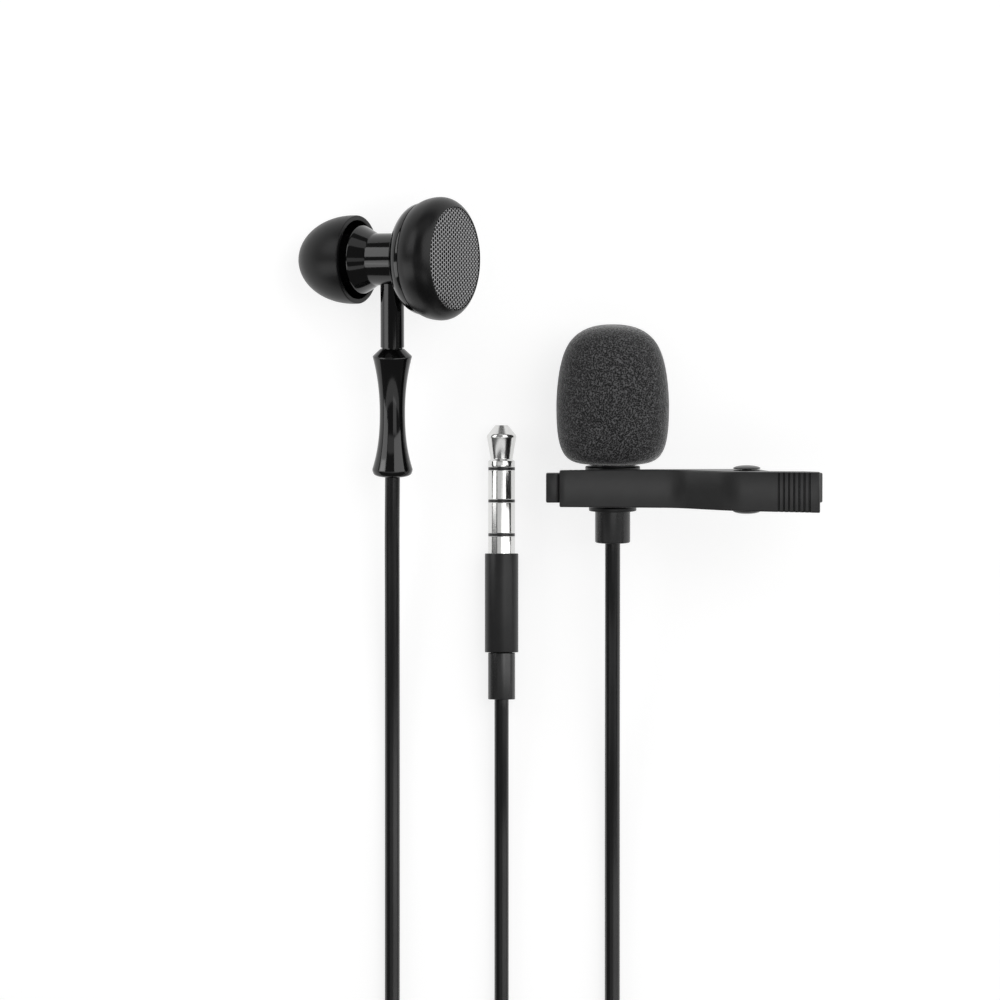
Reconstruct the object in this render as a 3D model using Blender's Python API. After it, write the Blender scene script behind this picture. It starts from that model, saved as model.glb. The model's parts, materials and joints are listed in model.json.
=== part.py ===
"""Lapel microphone with foam windscreen and spring clip, a monitoring earphone and a four-pole plug,
on one cord set that lies on a table.

Metres, +Z up, the table is z = 0. The microphone and the plug point to +Y, and the three cords leave to -Y
into their put-away coils and the splitter that joins them.
"""
import math

import bmesh
import bpy
import numpy as np
from mathutils import Matrix, Vector

# Fits
SEAT_GAP = 0.0002            # between two pieces that seat on each other
RUNNING_GAP = 0.00015        # beside a piece that turns
SLIDING_GAP = 0.0003         # round a soft piece that pulls off
CORD_GAP = 0.0003            # between a cord's end and what it meets
INSERT_DEPTH = 0.0009        # how far a spigot reaches into its socket
EDGE = 0.00012               # broken edge of a moulding

# Microphone, along its axis from the middle of the clip's ring seat
MIC_PLACE = (0.00658, -0.0148)
MIC_TILT = math.radians(4.4)
RING_SEAT_RADIUS = 0.00245
RING_SEAT_LOW = -0.0023
RING_SEAT_HIGH = 0.00227
COLLAR_RADIUS = 0.00297
COLLAR_HEIGHT = 0.0005
FLANGE_RADIUS = 0.00343
FLANGE_HEIGHT = 0.0005
NECK_RADIUS = 0.0028
HEAD_TOP = 0.0096
CAP_HEIGHT = 0.0012
CAP_WALL = 0.0005
SOUND_HOLE_RADIUS = 0.00032
SOUND_HOLE_CIRCLE = 0.0012
SOUND_HOLES = 6
HEAD_WALL = 0.0005
HEAD_FLOOR = 0.0032
MIC_BORE = 0.0011
CAPSULE_RADIUS = 0.0017
CAPSULE_LOW = 0.0046
CAPSULE_HEIGHT = 0.0028
GASKET_HEIGHT = 0.0016
BOARD_THICKNESS = 0.0006
MIC_RELIEF_RADIUS = 0.0022
MIC_RELIEF_LENGTH = 0.0038

# Foam windscreen
FOAM_RADIUS = 0.00706
FOAM_LOW = 0.00308
FOAM_WIDEST = 0.0101
FOAM_TOP = 0.02053
FOAM_LIP_RADIUS = 0.0041
FOAM_STEPS = 4               # points of the lower side; the crown has a few more
FOAM_REST_STEPS = 24         # finer, to find how high the round foam holds the microphone
FOAM_LIP_RISE = 0.968        # where the lip meets the side, as a share of the lower part
FOAM_FOOT = (0.10, 5.0, 6.2)         # taper, fullness and roundness below the widest place
FOAM_CROWN = (0.27, 7.0, 2.41)       # and above it
FOAM_FOOT_PACE = 0.85        # how the points crowd towards the lip and the top
FOAM_CROWN_PACE = 1.25

# Clip, in the plane across the microphone: x along the levers, h up from the microphone's axis
CLIP_OFFSET = 0.00042
BASE_TIP = -0.00835
BASE_END = 0.02612
BASE_UNDER = 0.00375
BASE_THICKNESS = 0.0012
BASE_WIDTH = 0.0037
THUMB_TIP = -0.00668
THUMB_END = 0.02562
JAW_GAP = 0.0003
JAW_THICKNESS = 0.0011
RAMP_START = 0.0078
RAMP_END = 0.0147
RAMP_RISE = 0.00405
PAD_RISE = 0.0022
PAD_WALL_DEPTH = 0.0019
LEVER_SKIN = 0.001
THUMB_TIP_WIDTH = 0.00458
THUMB_END_WIDTH = 0.00506
CHEEK_WALL = 0.00045
LUG_INSET = 0.00001          # keeps the lugs' faces just inside the lever's sides
PIN_X = 0.01662
PIN_HEIGHT = 0.0074
PIN_RADIUS = 0.0006
PIN_HEAD_RADIUS = 0.00174
PIN_HEAD_HEIGHT = 0.0004
CHEEK_RADIUS = 0.0017
CHEEK_REACH = 0.00272        # from the pin to where the cheeks end under the pad
RIB_PITCH = 0.000635
RIB_GROOVES = 7
RIB_START = 0.02051
RIB_DEPTH = 0.00026
RIB_WIDTH = 0.00034
TOOTH_PITCH = 0.0007
TEETH = 5
TOOTH_DEPTH = 0.0002
TOOTH_WIDTH = 0.0005
RING_WALL = 0.0007
RING_LENGTH = 0.004
RING_BOSS_LENGTH = 0.0032
SPRING_WIRE = 0.00034
SPRING_RADIUS = 0.0012
SPRING_PITCH = 0.00076
SPRING_LEG = 0.0046
SPRING_LEG_POINTS = 3
SPRING_CURL_POINTS = 10
SPRING_START = math.radians(-100.0)
SPRING_SWEEP = math.radians(-872.0)

# Earphone, along its axis from the middle of the bezel; the axis rises to the grille
EAR_PLACE = (-0.0148, 0.0138)
EAR_RISE = math.radians(28.5)
BEZEL_CORE = 0.0055
BEZEL_RADIUS = 0.0022
BEZEL_BACK = 0.0033
BEZEL_FOOT = -0.0024
GRILLE_RADIUS = 0.0062
GRILLE_LOW = 0.0013
GRILLE_DOME = 0.0005
GRILLE_THICKNESS = 0.0004
SHELL_RADIUS = 0.007
SHELL_DEPTH = 0.0033
SHELL_WALL = 0.0006
SHELL_MOUTH = 0.0029
SHELL_MOUTH_LIP = 0.00035    # flat rim round the mouth
NECK_TUBE_RADIUS = 0.00325
NECK_TUBE_END = -0.00924
EAR_FLANGE_RADIUS = 0.00428
EAR_FLANGE_PLACE = -0.0111
EAR_FLANGE_EDGE = 0.00025
NOZZLE_RADIUS = 0.0021
NOZZLE_BORE = 0.0013
NOZZLE_END = -0.0169
BARB_HEIGHT = 0.0003
BARB_PLACE = -0.0148
NOZZLE_MESH_THICKNESS = 0.00025
TIP_CENTRE = -0.0125
TIP_LENGTH = 0.0073
TIP_RADIUS = 0.00554
TIP_RIM = -0.0119
TIP_WALL = 0.0006
TIP_SOUND_HOLE = 0.0016
TIP_SEAT = -0.0177
DRIVER_CLEARANCE = 0.00048   # from the basket's rear edge to the shell's wall
DRIVER_DEPTH = 0.0023
DRIVER_BACK = -0.001
DRIVER_WALL = 0.0003
MAGNET_RADIUS = 0.0025
MAGNET_HEIGHT = 0.0011
VOICE_COIL_RADIUS = 0.0031
VOICE_COIL_WALL = 0.0003
DIAPHRAGM_THICKNESS = 0.00015
EAR_BOARD_INSET = 0.0009      # from the basket's edge to the board's
STEM_PLACE = -0.007
STEM_SLOPE = math.radians(8.0)
STEM_RADIUS = 0.00148
STEM_END = 0.01106
EAR_RELIEF_SHOULDER = 0.00094
EAR_RELIEF_TOP_RADIUS = 0.00248
EAR_RELIEF_WAIST_RADIUS = 0.00159
EAR_RELIEF_END_RADIUS = 0.00254
EAR_RELIEF_WAIST = 0.008
EAR_RELIEF_BULB = 0.0152
EAR_RELIEF_LENGTH = 0.016
EAR_RELIEF_FLARE = 2.05      # how fast the sleeve narrows and widens again
EAR_RELIEF_SWELL = 2.4
EAR_RELIEF_CAP = ((0.97, 0.5), (0.80, 1.0))    # shares of its end radius and of its end cap's length

# Four-pole 3.5 mm plug, along its axis from the tip
PLUG_X = -0.0073
PLUG_TIP_Y = -0.00686
PLUG_APEX_RADIUS = 0.00081
PLUG_BULB_RADIUS = 0.00188
PLUG_BULB_PLACE = 0.00148
PLUG_BULB_ROUND = 0.0005
PLUG_WAIST_RADIUS = 0.00138
PLUG_WAIST_PLACE = 0.00426
PLUG_RADIUS = 0.0017
PLUG_POLES = (0.00527, 0.00931, 0.013545)  # where each insulating band starts
PLUG_BAND = 0.0004
PLUG_BAND_GAP = 0.00006
PLUG_CORE_RADIUS = 0.0005
PLUG_TUBE_BORE = 0.0008
PLUG_BARREL_GAP = 0.00008    # round the barrel in the housing's mouth
PLUG_METAL_END = 0.01608
PLUG_HOUSING_RADIUS = 0.0021
PLUG_HOUSING_LENGTH = 0.0124
PLUG_SOCKET_DEPTH = 0.0028
PLUG_BOOT_RADIUS = 0.0017
PLUG_BOOT_LENGTH = 0.0057

# Cords and what is put away outside the photograph
BRANCH_DIAMETER = 0.0019
LEAD_DIAMETER = 0.0018
TUBE_STEP = 2.8              # diameters between the points of a free cord
LOOP_POINTS = 24
CLIMB_TURN = 0.5             # share of a turn in which a coil climbs a layer
TURN_CLEARANCE = 0.00045
TIE_THICKNESS = 0.0004
TIE_WIDTH = 0.003
TIE_GAP = 0.0003
MIC_COIL_OUTER = 0.0122
MIC_COIL_Y = -0.097
MIC_COIL_TURNS = 1.375
EAR_COIL_OUTER = 0.0134
EAR_COIL_Y = -0.097
EAR_COIL_TURNS = 2.5
LEAD_COIL_OUTER = 0.0152
LEAD_COIL_Y = -0.126
LEAD_COIL_TURNS = 4.0
SPLITTER_PLACE = (-0.0195, -0.1195)
SPLITTER_SIZE = (0.0076, 0.015, 0.0044)
SPLITTER_SEAM = 0.0002
SPLITTER_EDGE = 0.0009
SPLITTER_BOARD = (0.005, 0.01, 0.0008)
SPLITTER_PORT = 0.0019       # sideways from the middle to each branch

# Route points of the free cords, between the ends that their pieces fix
MIC_RUN = ((0.00658, -0.030, 0.0049), (0.00658, -0.040, 0.0032), (0.00658, -0.050, 0.0018),
           (0.00658, -0.060, 0.0011), (0.00658, -0.071, 0.00095), (0.00658, -0.084, 0.0011))
EAR_RUN = ((-0.021, -0.020, 0.0039), (-0.021, -0.028, 0.0027), (-0.021, -0.037, 0.0016),
           (-0.021, -0.047, 0.0010), (-0.021, -0.066, 0.00095), (-0.021, -0.084, 0.0011))
PLUG_RUN = ((-0.0073, -0.048, 0.0017), (-0.0073, -0.055, 0.0011), (-0.0073, -0.064, 0.0009),
            (-0.0073, -0.085, 0.0009), (-0.0073, -0.104, 0.0009), (-0.0073, -0.114, 0.0011))
MIC_TAIL = ((0.0120, -0.0848, 0.0040), (0.0060, -0.0848, 0.0040), (-0.0008, -0.0848, 0.0037),
            (-0.0070, -0.0854, 0.0034), (-0.0128, -0.0882, 0.0024), (-0.0164, -0.0936, 0.0013),
            (-0.0176, -0.1000, 0.0010), (-0.0176, -0.1060, 0.0014))
EAR_TAIL = ((-0.02105, -0.1035, 0.0037), (-0.0213, -0.1075, 0.0028))
LEAD_TAIL = ((-0.0074, -0.1318, 0.0081), (-0.0090, -0.1366, 0.0066), (-0.0134, -0.1392, 0.0046),
             (-0.0180, -0.1370, 0.0029), (-0.0194, -0.1322, 0.0023))

FULL_TURN = 2.0 * math.pi
LARGE_ROUND = 28             # sides of a turned piece
MEDIUM_ROUND = 20
SMALL_ROUND = 14

# Colours: base colour, metallic, roughness
FINISHES = {
    "foam": ((0.055, 0.055, 0.056), 0.0, 0.95),
    "clip_black": ((0.045, 0.045, 0.046), 0.0, 0.45),
    "housing_black": ((0.035, 0.035, 0.036), 0.0, 0.40),
    "relief_black": ((0.040, 0.040, 0.041), 0.0, 0.50),
    "cord_black": ((0.030, 0.030, 0.031), 0.0, 0.55),
    "gloss_black": ((0.012, 0.012, 0.013), 0.0, 0.12),
    "silicone": ((0.020, 0.020, 0.021), 0.0, 0.40),
    "nickel": ((0.80, 0.80, 0.79), 1.0, 0.15),
    "spring_steel": ((0.55, 0.55, 0.56), 1.0, 0.30),
    "mesh_steel": ((0.62, 0.62, 0.63), 1.0, 0.35),
    "insulator": ((0.010, 0.010, 0.010), 0.0, 0.40),
    "board": ((0.03, 0.14, 0.06), 0.0, 0.50),
    "copper": ((0.72, 0.36, 0.20), 1.0, 0.35),
    "film": ((0.70, 0.66, 0.50), 0.0, 0.30),
    "tie_black": ((0.030, 0.030, 0.030), 0.0, 0.60),
}


# ---------------------------------------------------------------- helpers

def clear_scene():
    for old in list(bpy.data.objects):
        bpy.data.objects.remove(old, do_unlink=True)


def finish(name):
    """The named finish as a material, made once."""
    material = bpy.data.materials.get(name)
    if material is None:
        colour, metallic, roughness = FINISHES[name]
        material = bpy.data.materials.new(name)
        material.use_nodes = True
        shader = material.node_tree.nodes["Principled BSDF"]
        shader.inputs["Base Color"].default_value = (*colour, 1.0)
        shader.inputs["Metallic"].default_value = metallic
        shader.inputs["Roughness"].default_value = roughness
    return material


def link(name, data, parent, place=(0.0, 0.0, 0.0)):
    thing = bpy.data.objects.new(name, data)
    bpy.context.scene.collection.objects.link(thing)
    thing.parent = parent
    thing.location = place
    return thing


def frame(name, origin, x_axis, z_axis, parent=None):
    """An empty whose local X and Z lie along the given directions."""
    x = Vector(x_axis).normalized()
    z = Vector(z_axis).normalized()
    y = z.cross(x)
    empty = link(name, None, parent, origin)
    empty.rotation_euler = Matrix((x, y, z)).transposed().to_euler()
    return empty


def place_in_world(empty, point):
    """A point of an empty's frame, in the world."""
    bpy.context.view_layer.update()
    return empty.matrix_world @ Vector(point)


def direction_in_world(empty, direction):
    bpy.context.view_layer.update()
    return empty.matrix_world.to_3x3() @ Vector(direction)


def solid(name, mesh_builder, parent, look, place=(0.0, 0.0, 0.0), crease=35.0):
    """Turn a finished bmesh into an object with smooth shading and its finish."""
    bmesh.ops.recalc_face_normals(mesh_builder, faces=mesh_builder.faces)
    mesh = bpy.data.meshes.new(name)
    mesh_builder.to_mesh(mesh)
    mesh_builder.free()
    mesh.shade_smooth()
    mesh.set_sharp_from_angle(angle=math.radians(crease))
    mesh.materials.append(finish(look))
    return link(name, mesh, parent, place)


def revolve(name, outline, parent, look, segments=MEDIUM_ROUND):
    """Turned solid about the frame's Z. The outline is (radius, height); one that doesn't start on the
    axis is closed into a ring."""
    bm = bmesh.new()
    verts = [bm.verts.new((radius, 0.0, height)) for radius, height in outline]
    edges = [bm.edges.new(pair) for pair in zip(verts, verts[1:])]
    if outline[0][0] > 0.0:
        edges.append(bm.edges.new((verts[-1], verts[0])))
    bmesh.ops.spin(bm, geom=verts + edges, cent=(0.0, 0.0, 0.0), axis=(0.0, 0.0, 1.0),
                   angle=FULL_TURN, steps=segments)
    bmesh.ops.remove_doubles(bm, verts=bm.verts, dist=1e-7)
    return solid(name, bm, parent, look)


def prism(name, outline, half_width, parent, look, place=(0.0, 0.0, 0.0)):
    """A flat outline in the frame's XY plane, extruded to both sides of it."""
    bm = bmesh.new()
    face = bm.faces.new([bm.verts.new((x, y, -half_width)) for x, y in outline])
    side = bmesh.ops.extrude_face_region(bm, geom=[face])
    top = [item for item in side["geom"] if isinstance(item, bmesh.types.BMVert)]
    bmesh.ops.translate(bm, verts=top, vec=(0.0, 0.0, 2.0 * half_width))
    return solid(name, bm, parent, look, place)


def block(name, low, high, parent, look, edge=0.0):
    """A box between two corners, with its edges rounded if asked."""
    bm = bmesh.new()
    size = Vector(high) - Vector(low)
    middle = (Vector(high) + Vector(low)) / 2.0
    bmesh.ops.create_cube(bm, size=1.0, matrix=Matrix.Translation(middle) @ Matrix.Diagonal((*size, 1.0)))
    if edge > 0.0:
        bmesh.ops.bevel(bm, geom=list(bm.edges), offset=edge, segments=3, profile=0.5, affect="EDGES")
    return solid(name, bm, parent, look)


def combine(target, other, operation):
    """Cut another solid from the target, or join it to the target; the other one is only a guide."""
    other.hide_render = True
    other.display_type = "WIRE"
    modifier = target.modifiers.new(other.name, "BOOLEAN")
    modifier.operation = operation
    modifier.solver = "EXACT"
    modifier.object = other
    return target


def arc(centre, radii, start, end, steps):
    """Points on an ellipse's arc, angles in degrees from the outline's first coordinate."""
    angles = [math.radians(start + (end - start) * step / steps) for step in range(steps + 1)]
    return [(centre[0] + radii[0] * math.cos(angle), centre[1] + radii[1] * math.sin(angle))
            for angle in angles]


def rest_height(outline, rise):
    """How high a tilted turned solid's frame origin is when its outline touches the table."""
    return -min(height * math.sin(rise) - radius * math.cos(rise) for radius, height in outline)


def tube(name, points, diameter, parent, look, resolution=2):
    """A round cord or wire through the points, with closed ends."""
    data = bpy.data.curves.new(name, "CURVE")
    data.dimensions = "3D"
    data.bevel_depth = diameter / 2.0
    data.bevel_resolution = resolution
    data.use_fill_caps = True
    spline = data.splines.new("POLY")
    spline.points.add(len(points) - 1)
    for target, point in zip(spline.points, points):
        target.co = (*point, 1.0)
    data.materials.append(finish(look))
    return link(name, data, parent)


def smooth_route(points, spacing):
    """Evenly spaced points on a smooth curve through the route's own points."""
    knots = np.array([tuple(point) for point in points], dtype=float)
    chords = np.linalg.norm(np.diff(knots, axis=0), axis=1)
    times = np.concatenate(([0.0], np.cumsum(np.sqrt(chords))))
    slopes = np.gradient(knots, times, axis=0)
    dense = []
    for index in range(len(knots) - 1):
        step = times[index + 1] - times[index]
        share = np.linspace(0.0, 1.0, 40, endpoint=index == len(knots) - 2)[:, None]
        dense.append((2 * share ** 3 - 3 * share ** 2 + 1) * knots[index]
                     + (share ** 3 - 2 * share ** 2 + share) * step * slopes[index]
                     + (-2 * share ** 3 + 3 * share ** 2) * knots[index + 1]
                     + (share ** 3 - share ** 2) * step * slopes[index + 1])
    dense = np.concatenate(dense)
    lengths = np.concatenate(([0.0], np.cumsum(np.linalg.norm(np.diff(dense, axis=0), axis=1))))
    count = max(4, round(lengths[-1] / spacing)) + 1
    wanted = np.linspace(0.0, lengths[-1], count)
    return [tuple(np.interp(distance, lengths, dense[:, axis]) for axis in range(3)) for distance in wanted]


# ---------------------------------------------------------------- microphone

def foam_width(rise, taper, fullness, roundness):
    """Share of the foam's radius at a share of the way from its widest place to its end."""
    return (1.0 - taper * rise ** 2) * max(0.0, 1.0 - rise ** fullness) ** (1.0 / roundness)


def foam_outline(steps=FOAM_STEPS):
    """From the bore's ceiling down the bore, round the lip and up the outside to the top."""
    bore = NECK_RADIUS + SLIDING_GAP
    ceiling = HEAD_TOP + SLIDING_GAP
    points = [(0.0, ceiling), (bore, ceiling), (bore, FOAM_LOW), (FOAM_LIP_RADIUS, FOAM_LOW)]
    lower = FOAM_WIDEST - FOAM_LOW
    for step in range(steps):
        rise = FOAM_LIP_RISE * math.cos(math.radians(90.0 * step / steps)) ** FOAM_FOOT_PACE
        points.append((FOAM_RADIUS * foam_width(rise, *FOAM_FOOT), FOAM_WIDEST - lower * rise))
    upper = FOAM_TOP - FOAM_WIDEST
    crown_steps = steps + 2
    for step in range(crown_steps + 1):
        rise = math.sin(math.radians(90.0 * step / crown_steps)) ** FOAM_CROWN_PACE
        points.append((FOAM_RADIUS * foam_width(rise, *FOAM_CROWN), FOAM_WIDEST + upper * rise))
    return points


def mic_frame():
    """The microphone's axis, pointing to the foam's top; the foam lies on the table."""
    height = rest_height(foam_outline(FOAM_REST_STEPS), MIC_TILT)
    return frame("mic_axis", (*MIC_PLACE, height), (1.0, 0.0, 0.0),
                 (0.0, math.cos(MIC_TILT), math.sin(MIC_TILT)))


def build_microphone(axis):
    collar_low = RING_SEAT_LOW - COLLAR_HEIGHT
    flange_top = RING_SEAT_HIGH + FLANGE_HEIGHT
    rim = HEAD_TOP - CAP_HEIGHT - SEAT_GAP
    cavity = NECK_RADIUS - HEAD_WALL
    revolve("mic_housing", [
        (MIC_BORE, collar_low), (COLLAR_RADIUS - EDGE, collar_low), (COLLAR_RADIUS, collar_low + EDGE),
        (COLLAR_RADIUS, RING_SEAT_LOW), (RING_SEAT_RADIUS, RING_SEAT_LOW),
        (RING_SEAT_RADIUS, RING_SEAT_HIGH), (FLANGE_RADIUS, RING_SEAT_HIGH),
        (FLANGE_RADIUS, flange_top - EDGE), (FLANGE_RADIUS - EDGE, flange_top), (NECK_RADIUS, flange_top),
        (NECK_RADIUS, rim), (cavity, rim), (cavity, HEAD_FLOOR), (MIC_BORE, HEAD_FLOOR)],
        axis, "housing_black")
    build_head_cap(axis, cavity - SEAT_GAP)
    capsule_top = CAPSULE_LOW + CAPSULE_HEIGHT
    revolve("mic_capsule", [
        (0.0, CAPSULE_LOW), (CAPSULE_RADIUS, CAPSULE_LOW), (CAPSULE_RADIUS, capsule_top - EDGE),
        (CAPSULE_RADIUS - EDGE, capsule_top), (0.0, capsule_top)], axis, "nickel", SMALL_ROUND)
    gasket_low = CAPSULE_LOW + (CAPSULE_HEIGHT - GASKET_HEIGHT) / 2.0
    gasket_top = gasket_low + GASKET_HEIGHT
    gasket_bore = CAPSULE_RADIUS + SEAT_GAP
    inside = cavity - SEAT_GAP
    revolve("mic_capsule_gasket", [
        (gasket_bore, gasket_low), (inside, gasket_low), (inside, gasket_top), (gasket_bore, gasket_top)],
        axis, "silicone", SMALL_ROUND)
    board_top = CAPSULE_LOW - SEAT_GAP
    board_low = board_top - BOARD_THICKNESS
    revolve("mic_capsule_board", [(0.0, board_low), (inside, board_low), (inside, board_top), (0.0, board_top)],
            axis, "board", SMALL_ROUND)
    relief_top = collar_low - SEAT_GAP
    relief_end = relief_top - MIC_RELIEF_LENGTH
    spigot = MIC_BORE - SEAT_GAP
    revolve("mic_strain_relief", [
        (0.0, relief_end), (MIC_RELIEF_RADIUS - EDGE, relief_end), (MIC_RELIEF_RADIUS, relief_end + EDGE),
        (MIC_RELIEF_RADIUS, relief_top - EDGE), (MIC_RELIEF_RADIUS - EDGE, relief_top),
        (spigot, relief_top), (spigot, collar_low + INSERT_DEPTH), (0.0, collar_low + INSERT_DEPTH)],
        axis, "relief_black")
    revolve("windscreen_foam", foam_outline(), axis, "foam")
    return relief_end


def build_head_cap(axis, skirt):
    """Cap over the capsule, with its sound holes."""
    low = HEAD_TOP - CAP_HEIGHT
    cap = revolve("mic_head_cap", [
        (0.0, HEAD_TOP - CAP_WALL), (skirt - CAP_WALL, HEAD_TOP - CAP_WALL),
        (skirt - CAP_WALL, low - CAP_WALL), (skirt, low - CAP_WALL), (skirt, low), (NECK_RADIUS, low),
        (NECK_RADIUS, HEAD_TOP - 2.0 * EDGE),
        (NECK_RADIUS - 2.0 * EDGE, HEAD_TOP), (0.0, HEAD_TOP)], axis, "housing_black")
    for index in range(SOUND_HOLES):
        angle = FULL_TURN * index / SOUND_HOLES
        drill = revolve("sound_hole_%d" % index, [
            (0.0, low), (SOUND_HOLE_RADIUS, low), (SOUND_HOLE_RADIUS, HEAD_TOP + CAP_WALL),
            (0.0, HEAD_TOP + CAP_WALL)], axis, "housing_black", 8)
        drill.location = (SOUND_HOLE_CIRCLE * math.cos(angle), SOUND_HOLE_CIRCLE * math.sin(angle), 0.0)
        combine(cap, drill, "DIFFERENCE")


# ---------------------------------------------------------------- clip

def grooved(start, end, first, pitch, count, width, depth):
    """A straight edge from start to end with V grooves, their floors to one side of it."""
    start = Vector(start)
    along = (Vector(end) - start).normalized()
    inward = Vector((along.y, -along.x)) * depth
    points = [tuple(start)]
    for index in range(count):
        middle = start + along * ((first + pitch * index - start.x) / along.x)
        half = along * width / 2.0
        points += [tuple(middle - half), tuple(middle + inward), tuple(middle + half)]
    points.append(tuple(Vector(end)))
    return points


def jaw_face():
    return BASE_UNDER + BASE_THICKNESS


def base_lever_outline():
    """The straight lever: gripping face up, ribs under its thumb pad."""
    top = jaw_face()
    last_rib = RIB_START + RIB_PITCH * (RIB_GROOVES - 1)
    under = grooved((BASE_END - EDGE, BASE_UNDER), (BASE_TIP + EDGE, BASE_UNDER),
                    last_rib, -RIB_PITCH, RIB_GROOVES, RIB_WIDTH, RIB_DEPTH)
    upper = grooved((BASE_TIP + EDGE, top), (BASE_END - EDGE, top),
                    THUMB_TIP + TOOTH_PITCH, TOOTH_PITCH, TEETH, TOOTH_WIDTH, TOOTH_DEPTH)
    return (under + [(BASE_TIP, BASE_UNDER + EDGE), (BASE_TIP, top - EDGE)] + upper
            + [(BASE_END, top - EDGE), (BASE_END, BASE_UNDER + EDGE)])


def build_base_lever(clip):
    top = jaw_face()
    lever = prism("clip_base_lever", base_lever_outline(), BASE_WIDTH / 2.0, clip, "clip_black")
    foot = (top + BASE_UNDER) / 2.0
    lug = arc((PIN_X, PIN_HEIGHT), (CHEEK_RADIUS, CHEEK_RADIUS), 0.0, 180.0, 10)
    lug = [(PIN_X + CHEEK_RADIUS, foot)] + lug + [(PIN_X - CHEEK_RADIUS, foot)]
    for side, name in ((-1.0, "near"), (1.0, "far")):
        middle = side * (BASE_WIDTH - CHEEK_WALL) / 2.0
        cheek = prism("base_lug_%s" % name, lug, CHEEK_WALL / 2.0 - LUG_INSET, clip, "clip_black",
                      (0.0, 0.0, middle))
        combine(lever, cheek, "UNION")
    combine(lever, pin_drill("base_pin_drill", clip, (PIN_X, PIN_HEIGHT, 0.0)), "DIFFERENCE")
    return lever


def pin_drill(name, parent, place):
    """Cutter for the pin's running hole through a lever's cheeks."""
    radius = PIN_RADIUS + RUNNING_GAP
    reach = THUMB_END_WIDTH
    drill = revolve(name, [(0.0, -reach), (radius, -reach), (radius, reach), (0.0, reach)], parent,
                    "clip_black", SMALL_ROUND)
    drill.location = place
    return drill


def thumb_top(x):
    """Height of the thumb lever's upper face."""
    jaw = jaw_face() + JAW_GAP + JAW_THICKNESS
    rise = RAMP_RISE * min(1.0, max(0.0, (x - RAMP_START) / (RAMP_END - RAMP_START)))
    return jaw + rise + PAD_RISE * max(0.0, (x - RAMP_END) / (THUMB_END - RAMP_END))


def thumb_lever_outline():
    """Side view of the thumb lever: jaw, ramp, ribbed pad, and the cheeks that hold the pin."""
    low = jaw_face() + JAW_GAP
    pad_start = PIN_X + CHEEK_REACH
    top = [(THUMB_TIP, thumb_top(THUMB_TIP) - EDGE), (THUMB_TIP + EDGE, thumb_top(THUMB_TIP)),
           (RAMP_START, thumb_top(RAMP_START))]
    top += grooved((RAMP_END, thumb_top(RAMP_END)), (THUMB_END - EDGE, thumb_top(THUMB_END - EDGE)),
                   RIB_START, RIB_PITCH, RIB_GROOVES, RIB_WIDTH, RIB_DEPTH)
    end = [(THUMB_END, thumb_top(THUMB_END) - EDGE), (THUMB_END, thumb_top(THUMB_END) - LEVER_SKIN),
           (THUMB_END - PAD_WALL_DEPTH, thumb_top(THUMB_END - PAD_WALL_DEPTH) - PAD_WALL_DEPTH),
           (pad_start, thumb_top(pad_start) - PAD_WALL_DEPTH)]
    lobe = arc((PIN_X, PIN_HEIGHT), (CHEEK_RADIUS, CHEEK_RADIUS), -10.0, -100.0, 8)
    under = grooved((RAMP_START + EDGE, low), (THUMB_TIP, low), THUMB_TIP + (TEETH + 0.5) * TOOTH_PITCH,
                    -TOOTH_PITCH, TEETH, TOOTH_WIDTH, TOOTH_DEPTH)
    return top + end + lobe + under


def channel_outline():
    """What is hollow under the thumb lever's ramp and pad."""
    start = RAMP_START + LEVER_SKIN
    stop = THUMB_END - LEVER_SKIN
    roof = [(x, thumb_top(x) - LEVER_SKIN) for x in (start, RAMP_END, stop)]
    return [(start, BASE_UNDER)] + roof + [(stop, BASE_UNDER)]


def about_pin(outline):
    return [(x - PIN_X, y - PIN_HEIGHT) for x, y in outline]


def thumb_half_width(x):
    """Half the thumb lever's width, which grows evenly from jaw to pad."""
    share = (x - THUMB_TIP) / (THUMB_END - THUMB_TIP)
    return (THUMB_TIP_WIDTH + (THUMB_END_WIDTH - THUMB_TIP_WIDTH) * share) / 2.0


def build_thumb_lever(hinge):
    lever = prism("clip_thumb_lever", about_pin(thumb_lever_outline()), THUMB_TIP_WIDTH / 2.0, hinge,
                  "clip_black")
    for vertex in lever.data.vertices:
        vertex.co.z *= thumb_half_width(vertex.co.x + PIN_X) / (THUMB_TIP_WIDTH / 2.0)
    inner = BASE_WIDTH / 2.0 + RUNNING_GAP
    channel = prism("thumb_channel", about_pin(channel_outline()), inner, hinge, "clip_black")
    combine(lever, channel, "DIFFERENCE")
    combine(lever, pin_drill("thumb_pin_drill", hinge, (0.0, 0.0, 0.0)), "DIFFERENCE")
    return lever


def build_pin(clip):
    """Hinge pin with a domed head at each end."""
    inner = thumb_half_width(PIN_X + PIN_HEAD_RADIUS) + RUNNING_GAP
    dome = arc((0.0, inner), (PIN_HEAD_RADIUS, PIN_HEAD_HEIGHT), 0.0, 90.0, 4)
    half = [(PIN_RADIUS, 0.0), (PIN_RADIUS, inner)] + dome
    outline = [(radius, -height) for radius, height in reversed(half)] + half[1:]
    outline = [(0.0 if radius < 1e-9 else radius, height) for radius, height in outline]
    pin = revolve("clip_hinge_pin", outline, clip, "clip_black", SMALL_ROUND)
    pin.location = (PIN_X, PIN_HEIGHT, 0.0)


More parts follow.
